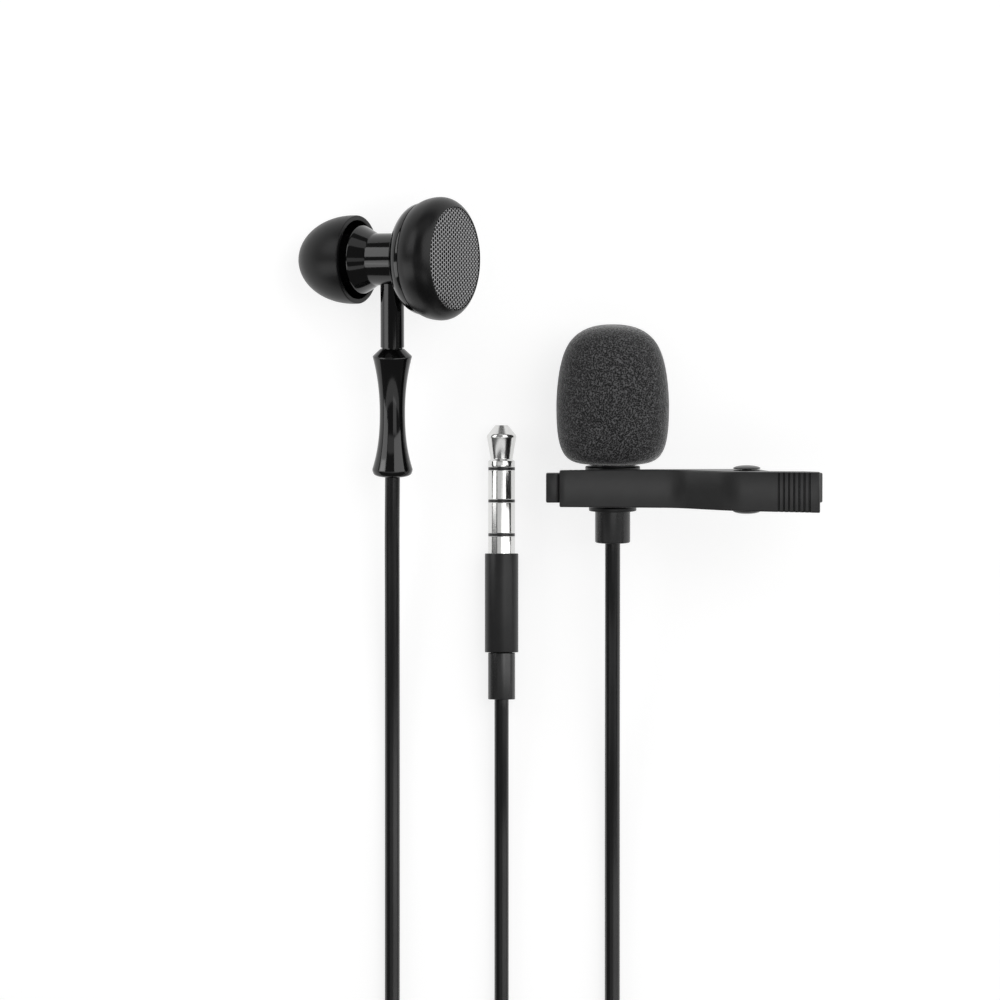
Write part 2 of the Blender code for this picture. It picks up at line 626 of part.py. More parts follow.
def build_holder_ring(clip):
    """Ring round the microphone's seat, with the boss that the base lever is fixed to."""
    inner = RING_SEAT_RADIUS + RUNNING_GAP
    outer = inner + RING_WALL
    half = RING_LENGTH / 2.0
    ring = revolve("clip_holder_ring", [(inner, CLIP_OFFSET - half), (outer, CLIP_OFFSET - half),
                                        (outer, CLIP_OFFSET + half), (inner, CLIP_OFFSET + half)],
                   clip, "clip_black")
    boss_x = RING_BOSS_LENGTH / 2.0
    boss_z = BASE_WIDTH / 2.0 - EDGE
    boss = block("ring_boss", (-boss_x, inner + RING_WALL / 4.0, -boss_z),
                 (boss_x, BASE_UNDER - SEAT_GAP, boss_z), clip, "clip_black")
    combine(ring, boss, "UNION")


def spring_points():
    """Wire of the torsion spring: a leg on the base lever, the curls round the pin, a leg under the pad."""
    curls = abs(SPRING_SWEEP) / FULL_TURN
    steps = round(curls * SPRING_CURL_POINTS)
    width = SPRING_PITCH * curls
    points = []
    for step in range(steps + 1):
        angle = SPRING_START + SPRING_SWEEP * step / steps
        points.append(Vector((SPRING_RADIUS * math.cos(angle), SPRING_RADIUS * math.sin(angle),
                              -width / 2.0 + width * step / steps)))
    first = Vector((-math.sin(SPRING_START), math.cos(SPRING_START), 0.0))
    last_angle = SPRING_START + SPRING_SWEEP
    last = Vector((math.sin(last_angle), -math.cos(last_angle), 0.0))
    legs = [SPRING_LEG * step / SPRING_LEG_POINTS for step in range(SPRING_LEG_POINTS, 0, -1)]
    before = [points[0] + first * length for length in legs]
    after = [points[-1] + last * length for length in reversed(legs)]
    return before + points + after


def build_clip(mic_axis):
    """The clip's frame has x along the levers and y up from the microphone's axis."""
    clip = frame("clip_axis", (0.0, 0.0, CLIP_OFFSET), (1.0, 0.0, 0.0), (0.0, 0.0, -1.0), mic_axis)
    hinge = link("clip_hinge_axis", None, clip, (PIN_X, PIN_HEIGHT, 0.0))
    build_base_lever(clip)
    build_holder_ring(clip)
    build_thumb_lever(hinge)
    build_pin(clip)
    points = spring_points()
    tube("clip_spring", points, SPRING_WIRE, hinge, "spring_steel", 1)
    report_gap("clip_spring", points, SPRING_WIRE, SPRING_CURL_POINTS)
    return clip


# ---------------------------------------------------------------- earphone

def ear_tip_outline():
    """Domed silicone tip: outside from the sound hole to the rim, then the inside and the seat."""
    def dome(length, radius, start, end, steps):
        return [(radius * math.sin(angle), TIP_CENTRE - length * math.cos(angle))
                for angle in np.radians(np.linspace(start, end, steps + 1))]
    nose = math.degrees(math.asin(TIP_SOUND_HOLE / TIP_RADIUS))
    rim = math.degrees(math.acos((TIP_CENTRE - TIP_RIM) / TIP_LENGTH))
    tube_bore = NOZZLE_RADIUS + BARB_HEIGHT + SEAT_GAP
    tube_wall = tube_bore + TIP_WALL
    inner_radius = TIP_RADIUS - TIP_WALL
    inner_length = TIP_LENGTH - TIP_WALL
    crown = math.degrees(math.asin(tube_wall / inner_radius))
    inner_rim = math.degrees(math.acos((TIP_CENTRE - TIP_RIM) / inner_length))
    points = dome(TIP_LENGTH, TIP_RADIUS, nose, rim, 9)
    points += dome(inner_length, inner_radius, inner_rim, crown, 4)
    tube_end = EAR_FLANGE_PLACE - EAR_FLANGE_EDGE - SLIDING_GAP
    return points + [(tube_wall, tube_end), (tube_bore, tube_end), (tube_bore, TIP_SEAT),
                     (TIP_SOUND_HOLE, TIP_SEAT)]


def ear_frame():
    """The earphone's axis, pointing to the grille; the ear tip lies on the table."""
    height = rest_height(ear_tip_outline(), EAR_RISE)
    return frame("ear_axis", (*EAR_PLACE, height), (math.sin(EAR_RISE), 0.0, -math.cos(EAR_RISE)),
                 (math.cos(EAR_RISE), 0.0, math.sin(EAR_RISE)))


def build_ear_shells(axis):
    front = arc((BEZEL_CORE, 0.0), (BEZEL_RADIUS, BEZEL_RADIUS), 64.0, 0.0, 5)
    foot = math.degrees(math.asin(BEZEL_FOOT / BEZEL_BACK))
    back = arc((BEZEL_CORE, 0.0), (BEZEL_RADIUS, BEZEL_BACK), 0.0, foot, 3)
    mouth = [(GRILLE_RADIUS, BEZEL_FOOT), (GRILLE_RADIUS, front[0][1] - EDGE)]
    revolve("ear_bezel", mouth + front + back[1:], axis, "gloss_black", LARGE_ROUND)
    shell_front = BEZEL_FOOT - SEAT_GAP
    neck_angle = math.degrees(math.acos((SHELL_MOUTH + SHELL_MOUTH_LIP) / SHELL_RADIUS))
    outer = arc((0.0, shell_front), (SHELL_RADIUS, -SHELL_DEPTH), 0.0, neck_angle, 6)
    inner_radius = SHELL_RADIUS - SHELL_WALL
    mouth_angle = math.degrees(math.acos(SHELL_MOUTH / inner_radius))
    inner = arc((0.0, shell_front), (inner_radius, SHELL_WALL - SHELL_DEPTH), mouth_angle, 0.0, 3)
    revolve("ear_body_shell", outer + [(SHELL_MOUTH, outer[-1][1])] + inner, axis, "gloss_black",
            LARGE_ROUND)
    grille_radius = GRILLE_RADIUS - SEAT_GAP
    dome = [(grille_radius * share, GRILLE_LOW + GRILLE_THICKNESS + GRILLE_DOME * (1.0 - share ** 2))
            for share in (1.0, 0.7, 0.35, 0.0)]
    revolve("ear_grille", [(0.0, GRILLE_LOW), (grille_radius, GRILLE_LOW)] + dome, axis, "mesh_steel",
            LARGE_ROUND)
    return outer[-1][1]


def build_ear_neck(axis, shell_mouth):
    """Neck, flange and nozzle in one turned piece, bored for the sound."""
    shoulder = shell_mouth - SEAT_GAP
    spigot = SHELL_MOUTH - SEAT_GAP
    flange_face = EAR_FLANGE_PLACE - EAR_FLANGE_EDGE
    barb = NOZZLE_RADIUS + BARB_HEIGHT
    revolve("ear_neck", [
        (NOZZLE_BORE, shoulder + INSERT_DEPTH), (spigot, shoulder + INSERT_DEPTH), (spigot, shoulder),
        (NECK_TUBE_RADIUS, shoulder), (NECK_TUBE_RADIUS, NECK_TUBE_END),
        (EAR_FLANGE_RADIUS, EAR_FLANGE_PLACE), (EAR_FLANGE_RADIUS, flange_face),
        (NOZZLE_RADIUS, flange_face), (NOZZLE_RADIUS, BARB_PLACE),
        (barb, BARB_PLACE - BARB_HEIGHT), (barb, BARB_PLACE - 2.0 * BARB_HEIGHT),
        (NOZZLE_RADIUS, BARB_PLACE - 4.0 * BARB_HEIGHT), (NOZZLE_RADIUS, NOZZLE_END),
        (NOZZLE_BORE, NOZZLE_END)],
        axis, "gloss_black")
    mesh_top = NOZZLE_END - SEAT_GAP
    mesh_low = mesh_top - NOZZLE_MESH_THICKNESS
    mesh_radius = NOZZLE_RADIUS - EDGE
    revolve("ear_nozzle_mesh", [(0.0, mesh_low), (mesh_radius, mesh_low), (mesh_radius, mesh_top),
                                (0.0, mesh_top)], axis, "mesh_steel", SMALL_ROUND)


def driver_radius(mouth):
    """Radius of the basket that fits the shell's wall where its mouth lies."""
    depth_in_shell = (BEZEL_FOOT - SEAT_GAP - mouth) / (SHELL_DEPTH - SHELL_WALL)
    wall = (SHELL_RADIUS - SHELL_WALL) * math.sqrt(1.0 - depth_in_shell ** 2)
    return min(wall, GRILLE_RADIUS) - DRIVER_CLEARANCE


def build_driver(axis):
    """Driver inside the body: basket, magnet, voice coil and diaphragm, with the crossover board behind."""
    mouth = DRIVER_BACK - DRIVER_DEPTH
    outer = driver_radius(mouth)
    floor = DRIVER_BACK - DRIVER_WALL
    revolve("ear_driver_frame", [
        (0.0, floor), (outer - DRIVER_WALL, floor), (outer - DRIVER_WALL, mouth), (outer, mouth),
        (outer, DRIVER_BACK), (0.0, DRIVER_BACK)], axis, "spring_steel")
    magnet_top = floor - SEAT_GAP
    magnet_low = magnet_top - MAGNET_HEIGHT
    revolve("ear_driver_magnet", [(0.0, magnet_low), (MAGNET_RADIUS, magnet_low), (MAGNET_RADIUS, magnet_top),
                                  (0.0, magnet_top)], axis, "nickel", SMALL_ROUND)
    film_top = mouth - SEAT_GAP
    coil_low = film_top + SEAT_GAP
    coil_inner = VOICE_COIL_RADIUS - VOICE_COIL_WALL
    coil_top = floor - 2.0 * SEAT_GAP
    revolve("ear_voice_coil", [
        (coil_inner, coil_low), (VOICE_COIL_RADIUS, coil_low), (VOICE_COIL_RADIUS, coil_top),
        (coil_inner, coil_top)], axis, "copper", SMALL_ROUND)
    film_low = film_top - DIAPHRAGM_THICKNESS
    film_radius = outer - DRIVER_WALL
    revolve("ear_diaphragm", [(0.0, film_low), (film_radius, film_low), (film_radius, film_top),
                              (0.0, film_top)], axis, "film", SMALL_ROUND)
    board_low = DRIVER_BACK + SEAT_GAP
    board_top = board_low + BOARD_THICKNESS
    board_radius = outer - EAR_BOARD_INSET
    revolve("ear_board", [(0.0, board_low), (board_radius, board_low), (board_radius, board_top),
                          (0.0, board_top)], axis, "board", SMALL_ROUND)


def build_stem(axis):
    """Stem out of the neck and its strain relief, sloping down to the table; returns their frame."""
    root = place_in_world(axis, (0.0, 0.0, STEM_PLACE))
    stem_axis = frame("stem_axis", root, (1.0, 0.0, 0.0), (0.0, -math.cos(STEM_SLOPE), -math.sin(STEM_SLOPE)))
    spigot = STEM_RADIUS - 2.0 * SEAT_GAP
    stem_tip = STEM_END + INSERT_DEPTH
    stem = revolve("ear_stem", [(0.0, 0.0), (STEM_RADIUS, 0.0), (STEM_RADIUS, STEM_END), (spigot, STEM_END),
                                (spigot, stem_tip), (0.0, stem_tip)], stem_axis, "gloss_black")
    saddle = NECK_TUBE_RADIUS + SEAT_GAP
    low, high = STEM_PLACE - saddle, STEM_PLACE + saddle
    cutter = revolve("neck_saddle", [(0.0, low), (saddle, low), (saddle, high), (0.0, high)], axis,
                     "gloss_black")
    combine(stem, cutter, "DIFFERENCE")
    top = STEM_END + SEAT_GAP
    socket = spigot + SEAT_GAP
    shoulder = top + EAR_RELIEF_SHOULDER
    waist = top + EAR_RELIEF_WAIST
    bulb = top + EAR_RELIEF_BULB
    end = top + EAR_RELIEF_LENGTH
    narrowing = EAR_RELIEF_TOP_RADIUS - EAR_RELIEF_WAIST_RADIUS
    widening = EAR_RELIEF_END_RADIUS - EAR_RELIEF_WAIST_RADIUS
    flare = [(EAR_RELIEF_WAIST_RADIUS + narrowing * (1.0 - share) ** EAR_RELIEF_FLARE,
              shoulder + (waist - shoulder) * share) for share in (0.0, 0.15, 0.35, 0.6, 1.0)]
    swell = [(EAR_RELIEF_WAIST_RADIUS + widening * share ** EAR_RELIEF_SWELL,
              waist + (bulb - waist) * share) for share in (0.35, 0.6, 0.8, 1.0)]
    cap = [(EAR_RELIEF_END_RADIUS * width, bulb + (end - bulb) * share) for width, share in EAR_RELIEF_CAP]
    outline = [(0.0, stem_tip + SEAT_GAP), (socket, stem_tip + SEAT_GAP), (socket, top), (STEM_RADIUS, top)]
    revolve("ear_strain_relief", outline + flare + swell + cap + [(0.0, end)], stem_axis, "relief_black")
    return stem_axis, end


def build_ear_tip(axis):
    revolve("ear_tip", ear_tip_outline(), axis, "silicone", LARGE_ROUND)


# ---------------------------------------------------------------- plug

def build_plug():
    """Tip with its centre rod, two rings and the sleeve round it, insulating bands, housing and boot."""
    axis = frame("plug_axis", (PLUG_X, PLUG_TIP_Y, PLUG_HOUSING_RADIUS), (1.0, 0.0, 0.0), (0.0, -1.0, 0.0))
    build_plug_tip(axis)
    build_plug_bands(axis)
    front = PLUG_METAL_END
    back = front + PLUG_HOUSING_LENGTH
    boot_end = back + SEAT_GAP + PLUG_BOOT_LENGTH
    barrel_hole = PLUG_RADIUS + PLUG_BARREL_GAP
    boot_spigot = PLUG_BOOT_RADIUS - 2.0 * SEAT_GAP
    boot_socket = boot_spigot + SEAT_GAP
    socket_floor = back - INSERT_DEPTH - SEAT_GAP
    sleeve_floor = front + PLUG_SOCKET_DEPTH
    revolve("plug_housing", [
        (0.0, sleeve_floor), (barrel_hole, sleeve_floor), (barrel_hole, front),
        (PLUG_HOUSING_RADIUS - EDGE / 2.0, front),
        (PLUG_HOUSING_RADIUS, front + EDGE / 2.0), (PLUG_HOUSING_RADIUS, back - EDGE),
        (PLUG_HOUSING_RADIUS - EDGE, back), (boot_socket, back), (boot_socket, socket_floor),
        (0.0, socket_floor)],
        axis, "housing_black")
    revolve("plug_boot", [
        (0.0, back - INSERT_DEPTH), (boot_spigot, back - INSERT_DEPTH), (boot_spigot, back + SEAT_GAP),
        (PLUG_BOOT_RADIUS, back + SEAT_GAP), (PLUG_BOOT_RADIUS, boot_end - 3.0 * EDGE),
        (PLUG_BOOT_RADIUS - 2.0 * EDGE, boot_end), (0.0, boot_end)], axis, "relief_black")
    return axis, boot_end


def build_plug_tip(axis):
    bulb = arc((PLUG_BULB_RADIUS - PLUG_BULB_ROUND, PLUG_BULB_PLACE), (PLUG_BULB_ROUND, PLUG_BULB_ROUND),
               -50.0, 25.0, 4)
    end = PLUG_POLES[0]
    rod_end = PLUG_METAL_END + PLUG_SOCKET_DEPTH - SEAT_GAP
    revolve("plug_tip", [(0.0, 0.0), (PLUG_APEX_RADIUS, 0.0)] + bulb + [
        (PLUG_WAIST_RADIUS, PLUG_WAIST_PLACE), (PLUG_RADIUS, PLUG_WAIST_PLACE + 2.0 * EDGE),
        (PLUG_RADIUS, end), (PLUG_CORE_RADIUS, end), (PLUG_CORE_RADIUS, rod_end), (0.0, rod_end)],
        axis, "nickel")


def build_plug_bands(axis):
    """Insulating bands and the metal tubes between them."""
    housing_floor = PLUG_METAL_END + PLUG_SOCKET_DEPTH - SEAT_GAP
    metals = ("plug_ring_1", "plug_ring_2", "plug_sleeve")
    ends = list(PLUG_POLES[1:]) + [housing_floor]
    outer = PLUG_RADIUS - PLUG_BAND_GAP / 2.0
    for index, (start, metal_name, metal_end) in enumerate(zip(PLUG_POLES, metals, ends)):
        low = start + PLUG_BAND_GAP
        high = start + PLUG_BAND - PLUG_BAND_GAP
        revolve("plug_insulator_%d" % (index + 1), [(PLUG_TUBE_BORE, low), (outer, low), (outer, high),
                                                    (PLUG_TUBE_BORE, high)], axis, "insulator")
        metal = start + PLUG_BAND
        revolve(metal_name, [(PLUG_TUBE_BORE, metal), (PLUG_RADIUS, metal), (PLUG_RADIUS, metal_end),
                             (PLUG_TUBE_BORE, metal_end)], axis, "nickel")


# ---------------------------------------------------------------- cords

def climb(share):
    """0 before, 1 after, and an even rise between."""
    share = min(1.0, max(0.0, share))
    return share * share * (3.0 - 2.0 * share)


def coil_points(centre, start, sense, outer, layer_turns, layers, diameter):
    """A round coil that winds in and out again, a layer up at each reversal, with straight ends."""
    pitch = diameter + TURN_CLEARANCE
    lift = TIE_THICKNESS + TIE_GAP
    count = round(layer_turns * layers * LOOP_POINTS)
    points = []
    for index in range(count + 1):
        turn = index / LOOP_POINTS
        layer = min(layers - 1, int(turn / layer_turns))
        share = turn - layer * layer_turns
        inward = share if layer % 2 == 0 else layer_turns - share
        level = sum(climb((turn - layer_turns * edge) / CLIMB_TURN + 0.5) for edge in range(1, layers))
        angle = start + sense * FULL_TURN * turn
        radius = outer - pitch * inward
        points.append(Vector((centre[0] + radius * math.cos(angle), centre[1] + radius * math.sin(angle),
                              lift + diameter / 2.0 + level * pitch)))
    last = start + sense * FULL_TURN * layer_turns * layers
    entry = sense * Vector((-math.sin(start), math.cos(start), 0.0))
    leave = sense * Vector((-math.sin(last), math.cos(last), 0.0))
    return [points[0] - entry * diameter] + points + [points[-1] + leave * diameter], entry, leave


def report_gap(name, points, diameter, points_per_turn):
    """Print the least gap that a wound tube keeps to itself."""
    places = np.array([tuple(point) for point in points])
    least = min(np.linalg.norm(places[index + points_per_turn // 2:] - places[index], axis=1).min()
                for index in range(len(places) - points_per_turn // 2))
    print("%s: least gap to itself %.2f mm" % (name, (least - diameter) * 1000.0))


def build_cord(name, start, run, coil, tail, end, diameter):
    """One cord: its run to the coil, the coil, and its tail to the splitter."""
    points, entry, leave = coil
    spacing = TUBE_STEP * diameter
    run_end = points[0] - entry * CORD_GAP
    tail_start = points[-1] + leave * CORD_GAP
    first = [start] + list(run) + [tuple(run_end - entry * diameter * 2.0), tuple(run_end)]
    last = [tail_start] + list(tail) + [end]
    tube(name + "_run", smooth_route(first, spacing), diameter, None, "cord_black")
    tube(name + "_coil", points, diameter, None, "cord_black", 1)
    tube(name + "_tail", smooth_route(last, spacing), diameter, None, "cord_black")
    report_gap(name + "_coil", points[1:-1], diameter, LOOP_POINTS)
    total = sum((Vector(b) - Vector(a)).length for part in (first, points, last)
                for a, b in zip(part, part[1:]))
    print("%s: about %.0f mm long" % (name, total * 1000.0))


def build_tie(name, centre, angle, outer, layer_turns, layers, diameter):
    """A band round the coil's bundle at one place."""
    pitch = diameter + TURN_CLEARANCE
    inner = outer - pitch * layer_turns - diameter / 2.0 - TIE_GAP
    far = outer + diameter / 2.0 + TIE_GAP
    top = TIE_THICKNESS + 2.0 * TIE_GAP + diameter + pitch * (layers - 1)
    place = frame(name + "_frame", (*centre, 0.0), (math.cos(angle), math.sin(angle), 0.0), (0.0, 0.0, 1.0))
    band = block(name, (inner - TIE_THICKNESS, -TIE_WIDTH / 2.0, 0.0),
                 (far + TIE_THICKNESS, TIE_WIDTH / 2.0, top + TIE_THICKNESS), place, "tie_black")
    hole = block(name + "_hole", (inner, -TIE_WIDTH, TIE_THICKNESS), (far, TIE_WIDTH, top), place, "tie_black")
    combine(band, hole, "DIFFERENCE")


def build_splitter():
    """Two moulded shells, seam to seam, with the joint board between them."""
    place = frame("splitter_axis", (*SPLITTER_PLACE, 0.0), (1.0, 0.0, 0.0), (0.0, 0.0, 1.0))
    half_x, half_y, height = SPLITTER_SIZE[0] / 2.0, SPLITTER_SIZE[1] / 2.0, SPLITTER_SIZE[2]
    seam_low = (height - SPLITTER_SEAM) / 2.0
    seam_high = (height + SPLITTER_SEAM) / 2.0
    board = [size / 2.0 for size in SPLITTER_BOARD]
    pocket = [size + SPLITTER_SEAM for size in board]
    for name, low, high in (("splitter_lower_shell", 0.0, seam_low),
                            ("splitter_upper_shell", seam_high, height)):
        shell = block(name, (-half_x, -half_y, 0.0), (half_x, half_y, height), place, "housing_black",
                      SPLITTER_EDGE)
        keep = block(name + "_half", (-half_x * 2.0, -half_y * 2.0, low - (low == 0.0) * height),
                     (half_x * 2.0, half_y * 2.0, high + (high == height) * height), place, "housing_black")
        combine(shell, keep, "INTERSECT")
        room = block(name + "_pocket", (-pocket[0], -pocket[1], height / 2.0 - pocket[2]),
                     (pocket[0], pocket[1], height / 2.0 + pocket[2]), place, "housing_black")
        combine(shell, room, "DIFFERENCE")
    block("splitter_board", (-board[0], -board[1], height / 2.0 - board[2]),
          (board[0], board[1], height / 2.0 + board[2]), place, "board")


def build_cords(mic_axis, mic_end, stem_axis, ear_end, plug_axis, plug_end):
    mic_start = place_in_world(mic_axis, (0.0, 0.0, mic_end - CORD_GAP))
    ear_start = place_in_world(stem_axis, (0.0, 0.0, ear_end + CORD_GAP))
    plug_start = place_in_world(plug_axis, (0.0, 0.0, plug_end + CORD_GAP))
    middle = SPLITTER_SIZE[2] / 2.0
    north = SPLITTER_PLACE[1] + SPLITTER_SIZE[1] / 2.0 + CORD_GAP
    south = SPLITTER_PLACE[1] - SPLITTER_SIZE[1] / 2.0 - CORD_GAP
    mic_port = (SPLITTER_PLACE[0] + SPLITTER_PORT, north, middle)
    ear_port = (SPLITTER_PLACE[0] - SPLITTER_PORT, north, middle)
    lead_port = (SPLITTER_PLACE[0], south, middle)
    mic_centre = (mic_start.x + MIC_COIL_OUTER, MIC_COIL_Y)
    ear_centre = (ear_start.x - EAR_COIL_OUTER, EAR_COIL_Y)
    lead_centre = (plug_start.x + LEAD_COIL_OUTER, LEAD_COIL_Y)
    mic_coil = coil_points(mic_centre, math.pi, 1.0, MIC_COIL_OUTER, MIC_COIL_TURNS, 2, BRANCH_DIAMETER)
    ear_coil = coil_points(ear_centre, 0.0, -1.0, EAR_COIL_OUTER, EAR_COIL_TURNS, 2, BRANCH_DIAMETER)
    lead_coil = coil_points(lead_centre, math.pi, 1.0, LEAD_COIL_OUTER, LEAD_COIL_TURNS, 4, LEAD_DIAMETER)
    build_cord("mic_cord", mic_start, MIC_RUN, mic_coil, MIC_TAIL, mic_port, BRANCH_DIAMETER)
    build_cord("ear_cord", ear_start, EAR_RUN, ear_coil, EAR_TAIL, ear_port, BRANCH_DIAMETER)
    build_cord("plug_cord", plug_start, PLUG_RUN, lead_coil, LEAD_TAIL, lead_port, LEAD_DIAMETER)
    build_tie("mic_cord_tie", mic_centre, 0.0, MIC_COIL_OUTER, MIC_COIL_TURNS, 2, BRANCH_DIAMETER)
    build_tie("ear_cord_tie", ear_centre, -math.pi / 2.0, EAR_COIL_OUTER, EAR_COIL_TURNS, 2, BRANCH_DIAMETER)
    build_tie("plug_cord_tie", lead_centre, 0.0, LEAD_COIL_OUTER, LEAD_COIL_TURNS, 4, LEAD_DIAMETER)


# ---------------------------------------------------------------- assembly

def print_record_places(mic_axis, clip, ear_axis):
    """The joint axes and mount places, as the record states them."""
    for name, empty, point, direction in (
            ("microphone axis", mic_axis, (0.0, 0.0, 0.0), (0.0, 0.0, 1.0)),
            ("hinge", clip, (PIN_X, PIN_HEIGHT, 0.0), (0.0, 0.0, -1.0)),
            ("earphone axis", ear_axis, (0.0, 0.0, TIP_CENTRE), (0.0, 0.0, -1.0))):
        place = place_in_world(empty, point)
        way = direction_in_world(empty, direction)
        print("%s: (%.6f, %.6f, %.6f) along (%.6f, %.6f, %.6f)" % (name, *place, *way))


def build_all():
    clear_scene()
    mic_axis = mic_frame()
    mic_end = build_microphone(mic_axis)
    clip = build_clip(mic_axis)
    ear_axis = ear_frame()
    shell_mouth = build_ear_shells(ear_axis)
    build_ear_neck(ear_axis, shell_mouth)
    build_driver(ear_axis)
    build_ear_tip(ear_axis)
    stem_axis, ear_end = build_stem(ear_axis)
    plug_axis, plug_end = build_plug()
    build_splitter()
    build_cords(mic_axis, mic_end, stem_axis, ear_end, plug_axis, plug_end)
    print_record_places(mic_axis, clip, ear_axis)


build_all()
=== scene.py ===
"""The looks of a lapel microphone set: microphone with foam windscreen and spring clip, monitoring
earphone, four-pole plug, splitter and the cords that join them.

Metres, +Z up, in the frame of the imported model. The set lies on a table at z = 0 and the camera looks
straight down on it.
"""
import json
import math

import bmesh
import bpy
import numpy as np
from mathutils import Matrix, Vector


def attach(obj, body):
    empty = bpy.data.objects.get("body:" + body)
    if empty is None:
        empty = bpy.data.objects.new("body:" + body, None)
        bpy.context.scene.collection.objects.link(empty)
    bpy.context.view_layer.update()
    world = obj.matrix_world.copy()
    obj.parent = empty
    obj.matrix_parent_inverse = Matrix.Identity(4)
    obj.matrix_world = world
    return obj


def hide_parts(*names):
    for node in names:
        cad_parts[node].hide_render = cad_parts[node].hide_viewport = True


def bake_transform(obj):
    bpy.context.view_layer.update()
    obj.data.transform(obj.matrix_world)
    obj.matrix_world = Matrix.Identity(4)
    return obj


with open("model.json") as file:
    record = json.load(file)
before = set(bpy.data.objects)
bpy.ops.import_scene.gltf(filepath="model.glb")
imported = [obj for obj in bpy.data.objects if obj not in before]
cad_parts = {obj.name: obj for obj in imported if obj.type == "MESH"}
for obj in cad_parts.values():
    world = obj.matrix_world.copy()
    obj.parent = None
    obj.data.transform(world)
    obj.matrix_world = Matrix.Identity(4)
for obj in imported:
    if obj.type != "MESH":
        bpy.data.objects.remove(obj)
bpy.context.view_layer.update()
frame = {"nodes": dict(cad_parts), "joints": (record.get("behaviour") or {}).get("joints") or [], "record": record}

# Photograph
PHOTO_PIXELS = 1000
PIXELS_PER_METRE = 8000.0
VIEW_MIDDLE = (-0.0075, -0.01625, 0.006)
CAMERA_DISTANCE = 1.6
SENSOR = 36.0

# Fits that the construction keeps
SEAT_GAP = 0.0002
RUNNING_GAP = 0.00015
SLIDING_GAP = 0.0003
CORD_GAP = 0.0003
CORD_BORE_GAP = 0.00004      # between a cord and the hole that it goes into
CORD_INSERT = 0.0012         # how far a cord's end goes into what holds it
INSERT_DEPTH = 0.0009
EDGE = 0.00012

# Microphone, along its axis from the middle of the clip's ring seat
RING_SEAT_RADIUS = 0.00245
RING_SEAT_LOW = -0.0023
RING_SEAT_HIGH = 0.00227
COLLAR_RADIUS = 0.00297
COLLAR_LOW = -0.0028
FLANGE_RADIUS = 0.00343
FLANGE_TOP = 0.00277
NECK_RADIUS = 0.0028
HEAD_TOP = 0.0096
CAP_HEIGHT = 0.0012
CAP_WALL = 0.0005
HEAD_WALL = 0.0005
HEAD_FLOOR = 0.0032
MIC_BORE = 0.0011
SOUND_HOLE_RADIUS = 0.00032
SOUND_HOLE_CIRCLE = 0.0012
SOUND_HOLES = 6
MIC_RELIEF_RADIUS = 0.0022
MIC_RELIEF_LENGTH = 0.0038

# Foam windscreen
FOAM_RADIUS = 0.00706
FOAM_LOW = 0.00308
FOAM_WIDEST = 0.0101
FOAM_TOP = 0.02053
FOAM_FOOT = (0.10, 5.0, 6.2)         # taper, fullness and roundness below the widest place
FOAM_CROWN = (0.27, 7.0, 2.41)       # and above it
FOAM_FOOT_PACE = 0.85
FOAM_CROWN_PACE = 1.25
FOAM_LIP_PLACE = 0.995       # share of the way down where the outside meets the flat lip
FOAM_CELL = 0.00018          # width of one open cell
FOAM_CELL_WEIGHT = 0.7       # of the cells in the grain's height, beside the struts
FOAM_STRUT = 0.42            # width of a strut, as a share of a cell
FOAM_PIT = 0.00004           # depth of a cell at the surface
FOAM_SEGMENTS = 320
FOAM_RINGS = (64, 110)       # below and above the widest place

# Clip, in the plane across the microphone: x along the levers, h up from the microphone's axis
CLIP_OFFSET = 0.00042
BASE_TIP = -0.00835
BASE_END = 0.02612
BASE_UNDER = 0.00375
BASE_THICKNESS = 0.0012
BASE_WIDTH = 0.0037
THUMB_TIP = -0.00668
THUMB_END = 0.02562
JAW_GAP = 0.0003
JAW_THICKNESS = 0.0011
RAMP_START = 0.0078
RAMP_END = 0.0147
RAMP_RISE = 0.00405
RAMP_SOFTNESS = 0.0013       # half the length over which the ramp's corners are rounded
PAD_RISE = 0.0022
PAD_WALL_DEPTH = 0.0019
LEVER_SKIN = 0.001
LEVER_CHAMFER = 0.0005       # on the end of the far lever, past the thumb lever
LEVER_EDGE = 0.00016
LEVER_EDGE_STEPS = (0.3, 1.0)        # shares of it where the rounded ends have a section
LEVER_CREASE = 32.0          # degrees
THUMB_TIP_WIDTH = 0.00458
THUMB_END_WIDTH = 0.00506
CHEEK_WALL = 0.00045
PIN_X = 0.01662
PIN_HEIGHT = 0.0074
PIN_RADIUS = 0.0006
PIN_HEAD_RADIUS = 0.00174
PIN_HEAD_HEIGHT = 0.0004
CHEEK_RADIUS = 0.0017
CHEEK_REACH = 0.00272
CHEEK_ARC = (-100.0, -10.0)  # degrees round the pin that the thumb lever's cheeks follow
RIB_PITCH = 0.000635
RIB_GROOVES = 7
RIB_START = 0.02051
RIB_DEPTH = 0.00026
RIB_WIDTH = 0.00026
# across and down a groove of the ribbed pad, in shares of its width and depth
RIB_PROFILE = ((-0.5, 0.0), (-0.34, 0.75), (-0.12, 1.0), (0.12, 1.0), (0.34, 0.75), (0.5, 0.0))
TOOTH_PITCH = 0.0007
TEETH = 5
TOOTH_DEPTH = 0.0002
TOOTH_WIDTH = 0.0005
RING_WALL = 0.0007
RING_LENGTH = 0.004
RING_BOSS_LENGTH = 0.0032
SPRING_WIRE = 0.00034
SPRING_RADIUS = 0.0012
SPRING_PITCH = 0.00076
SPRING_LEG = 0.0046
SPRING_START = math.radians(-100.0)
SPRING_SWEEP = math.radians(-872.0)
SPRING_STEPS = 120

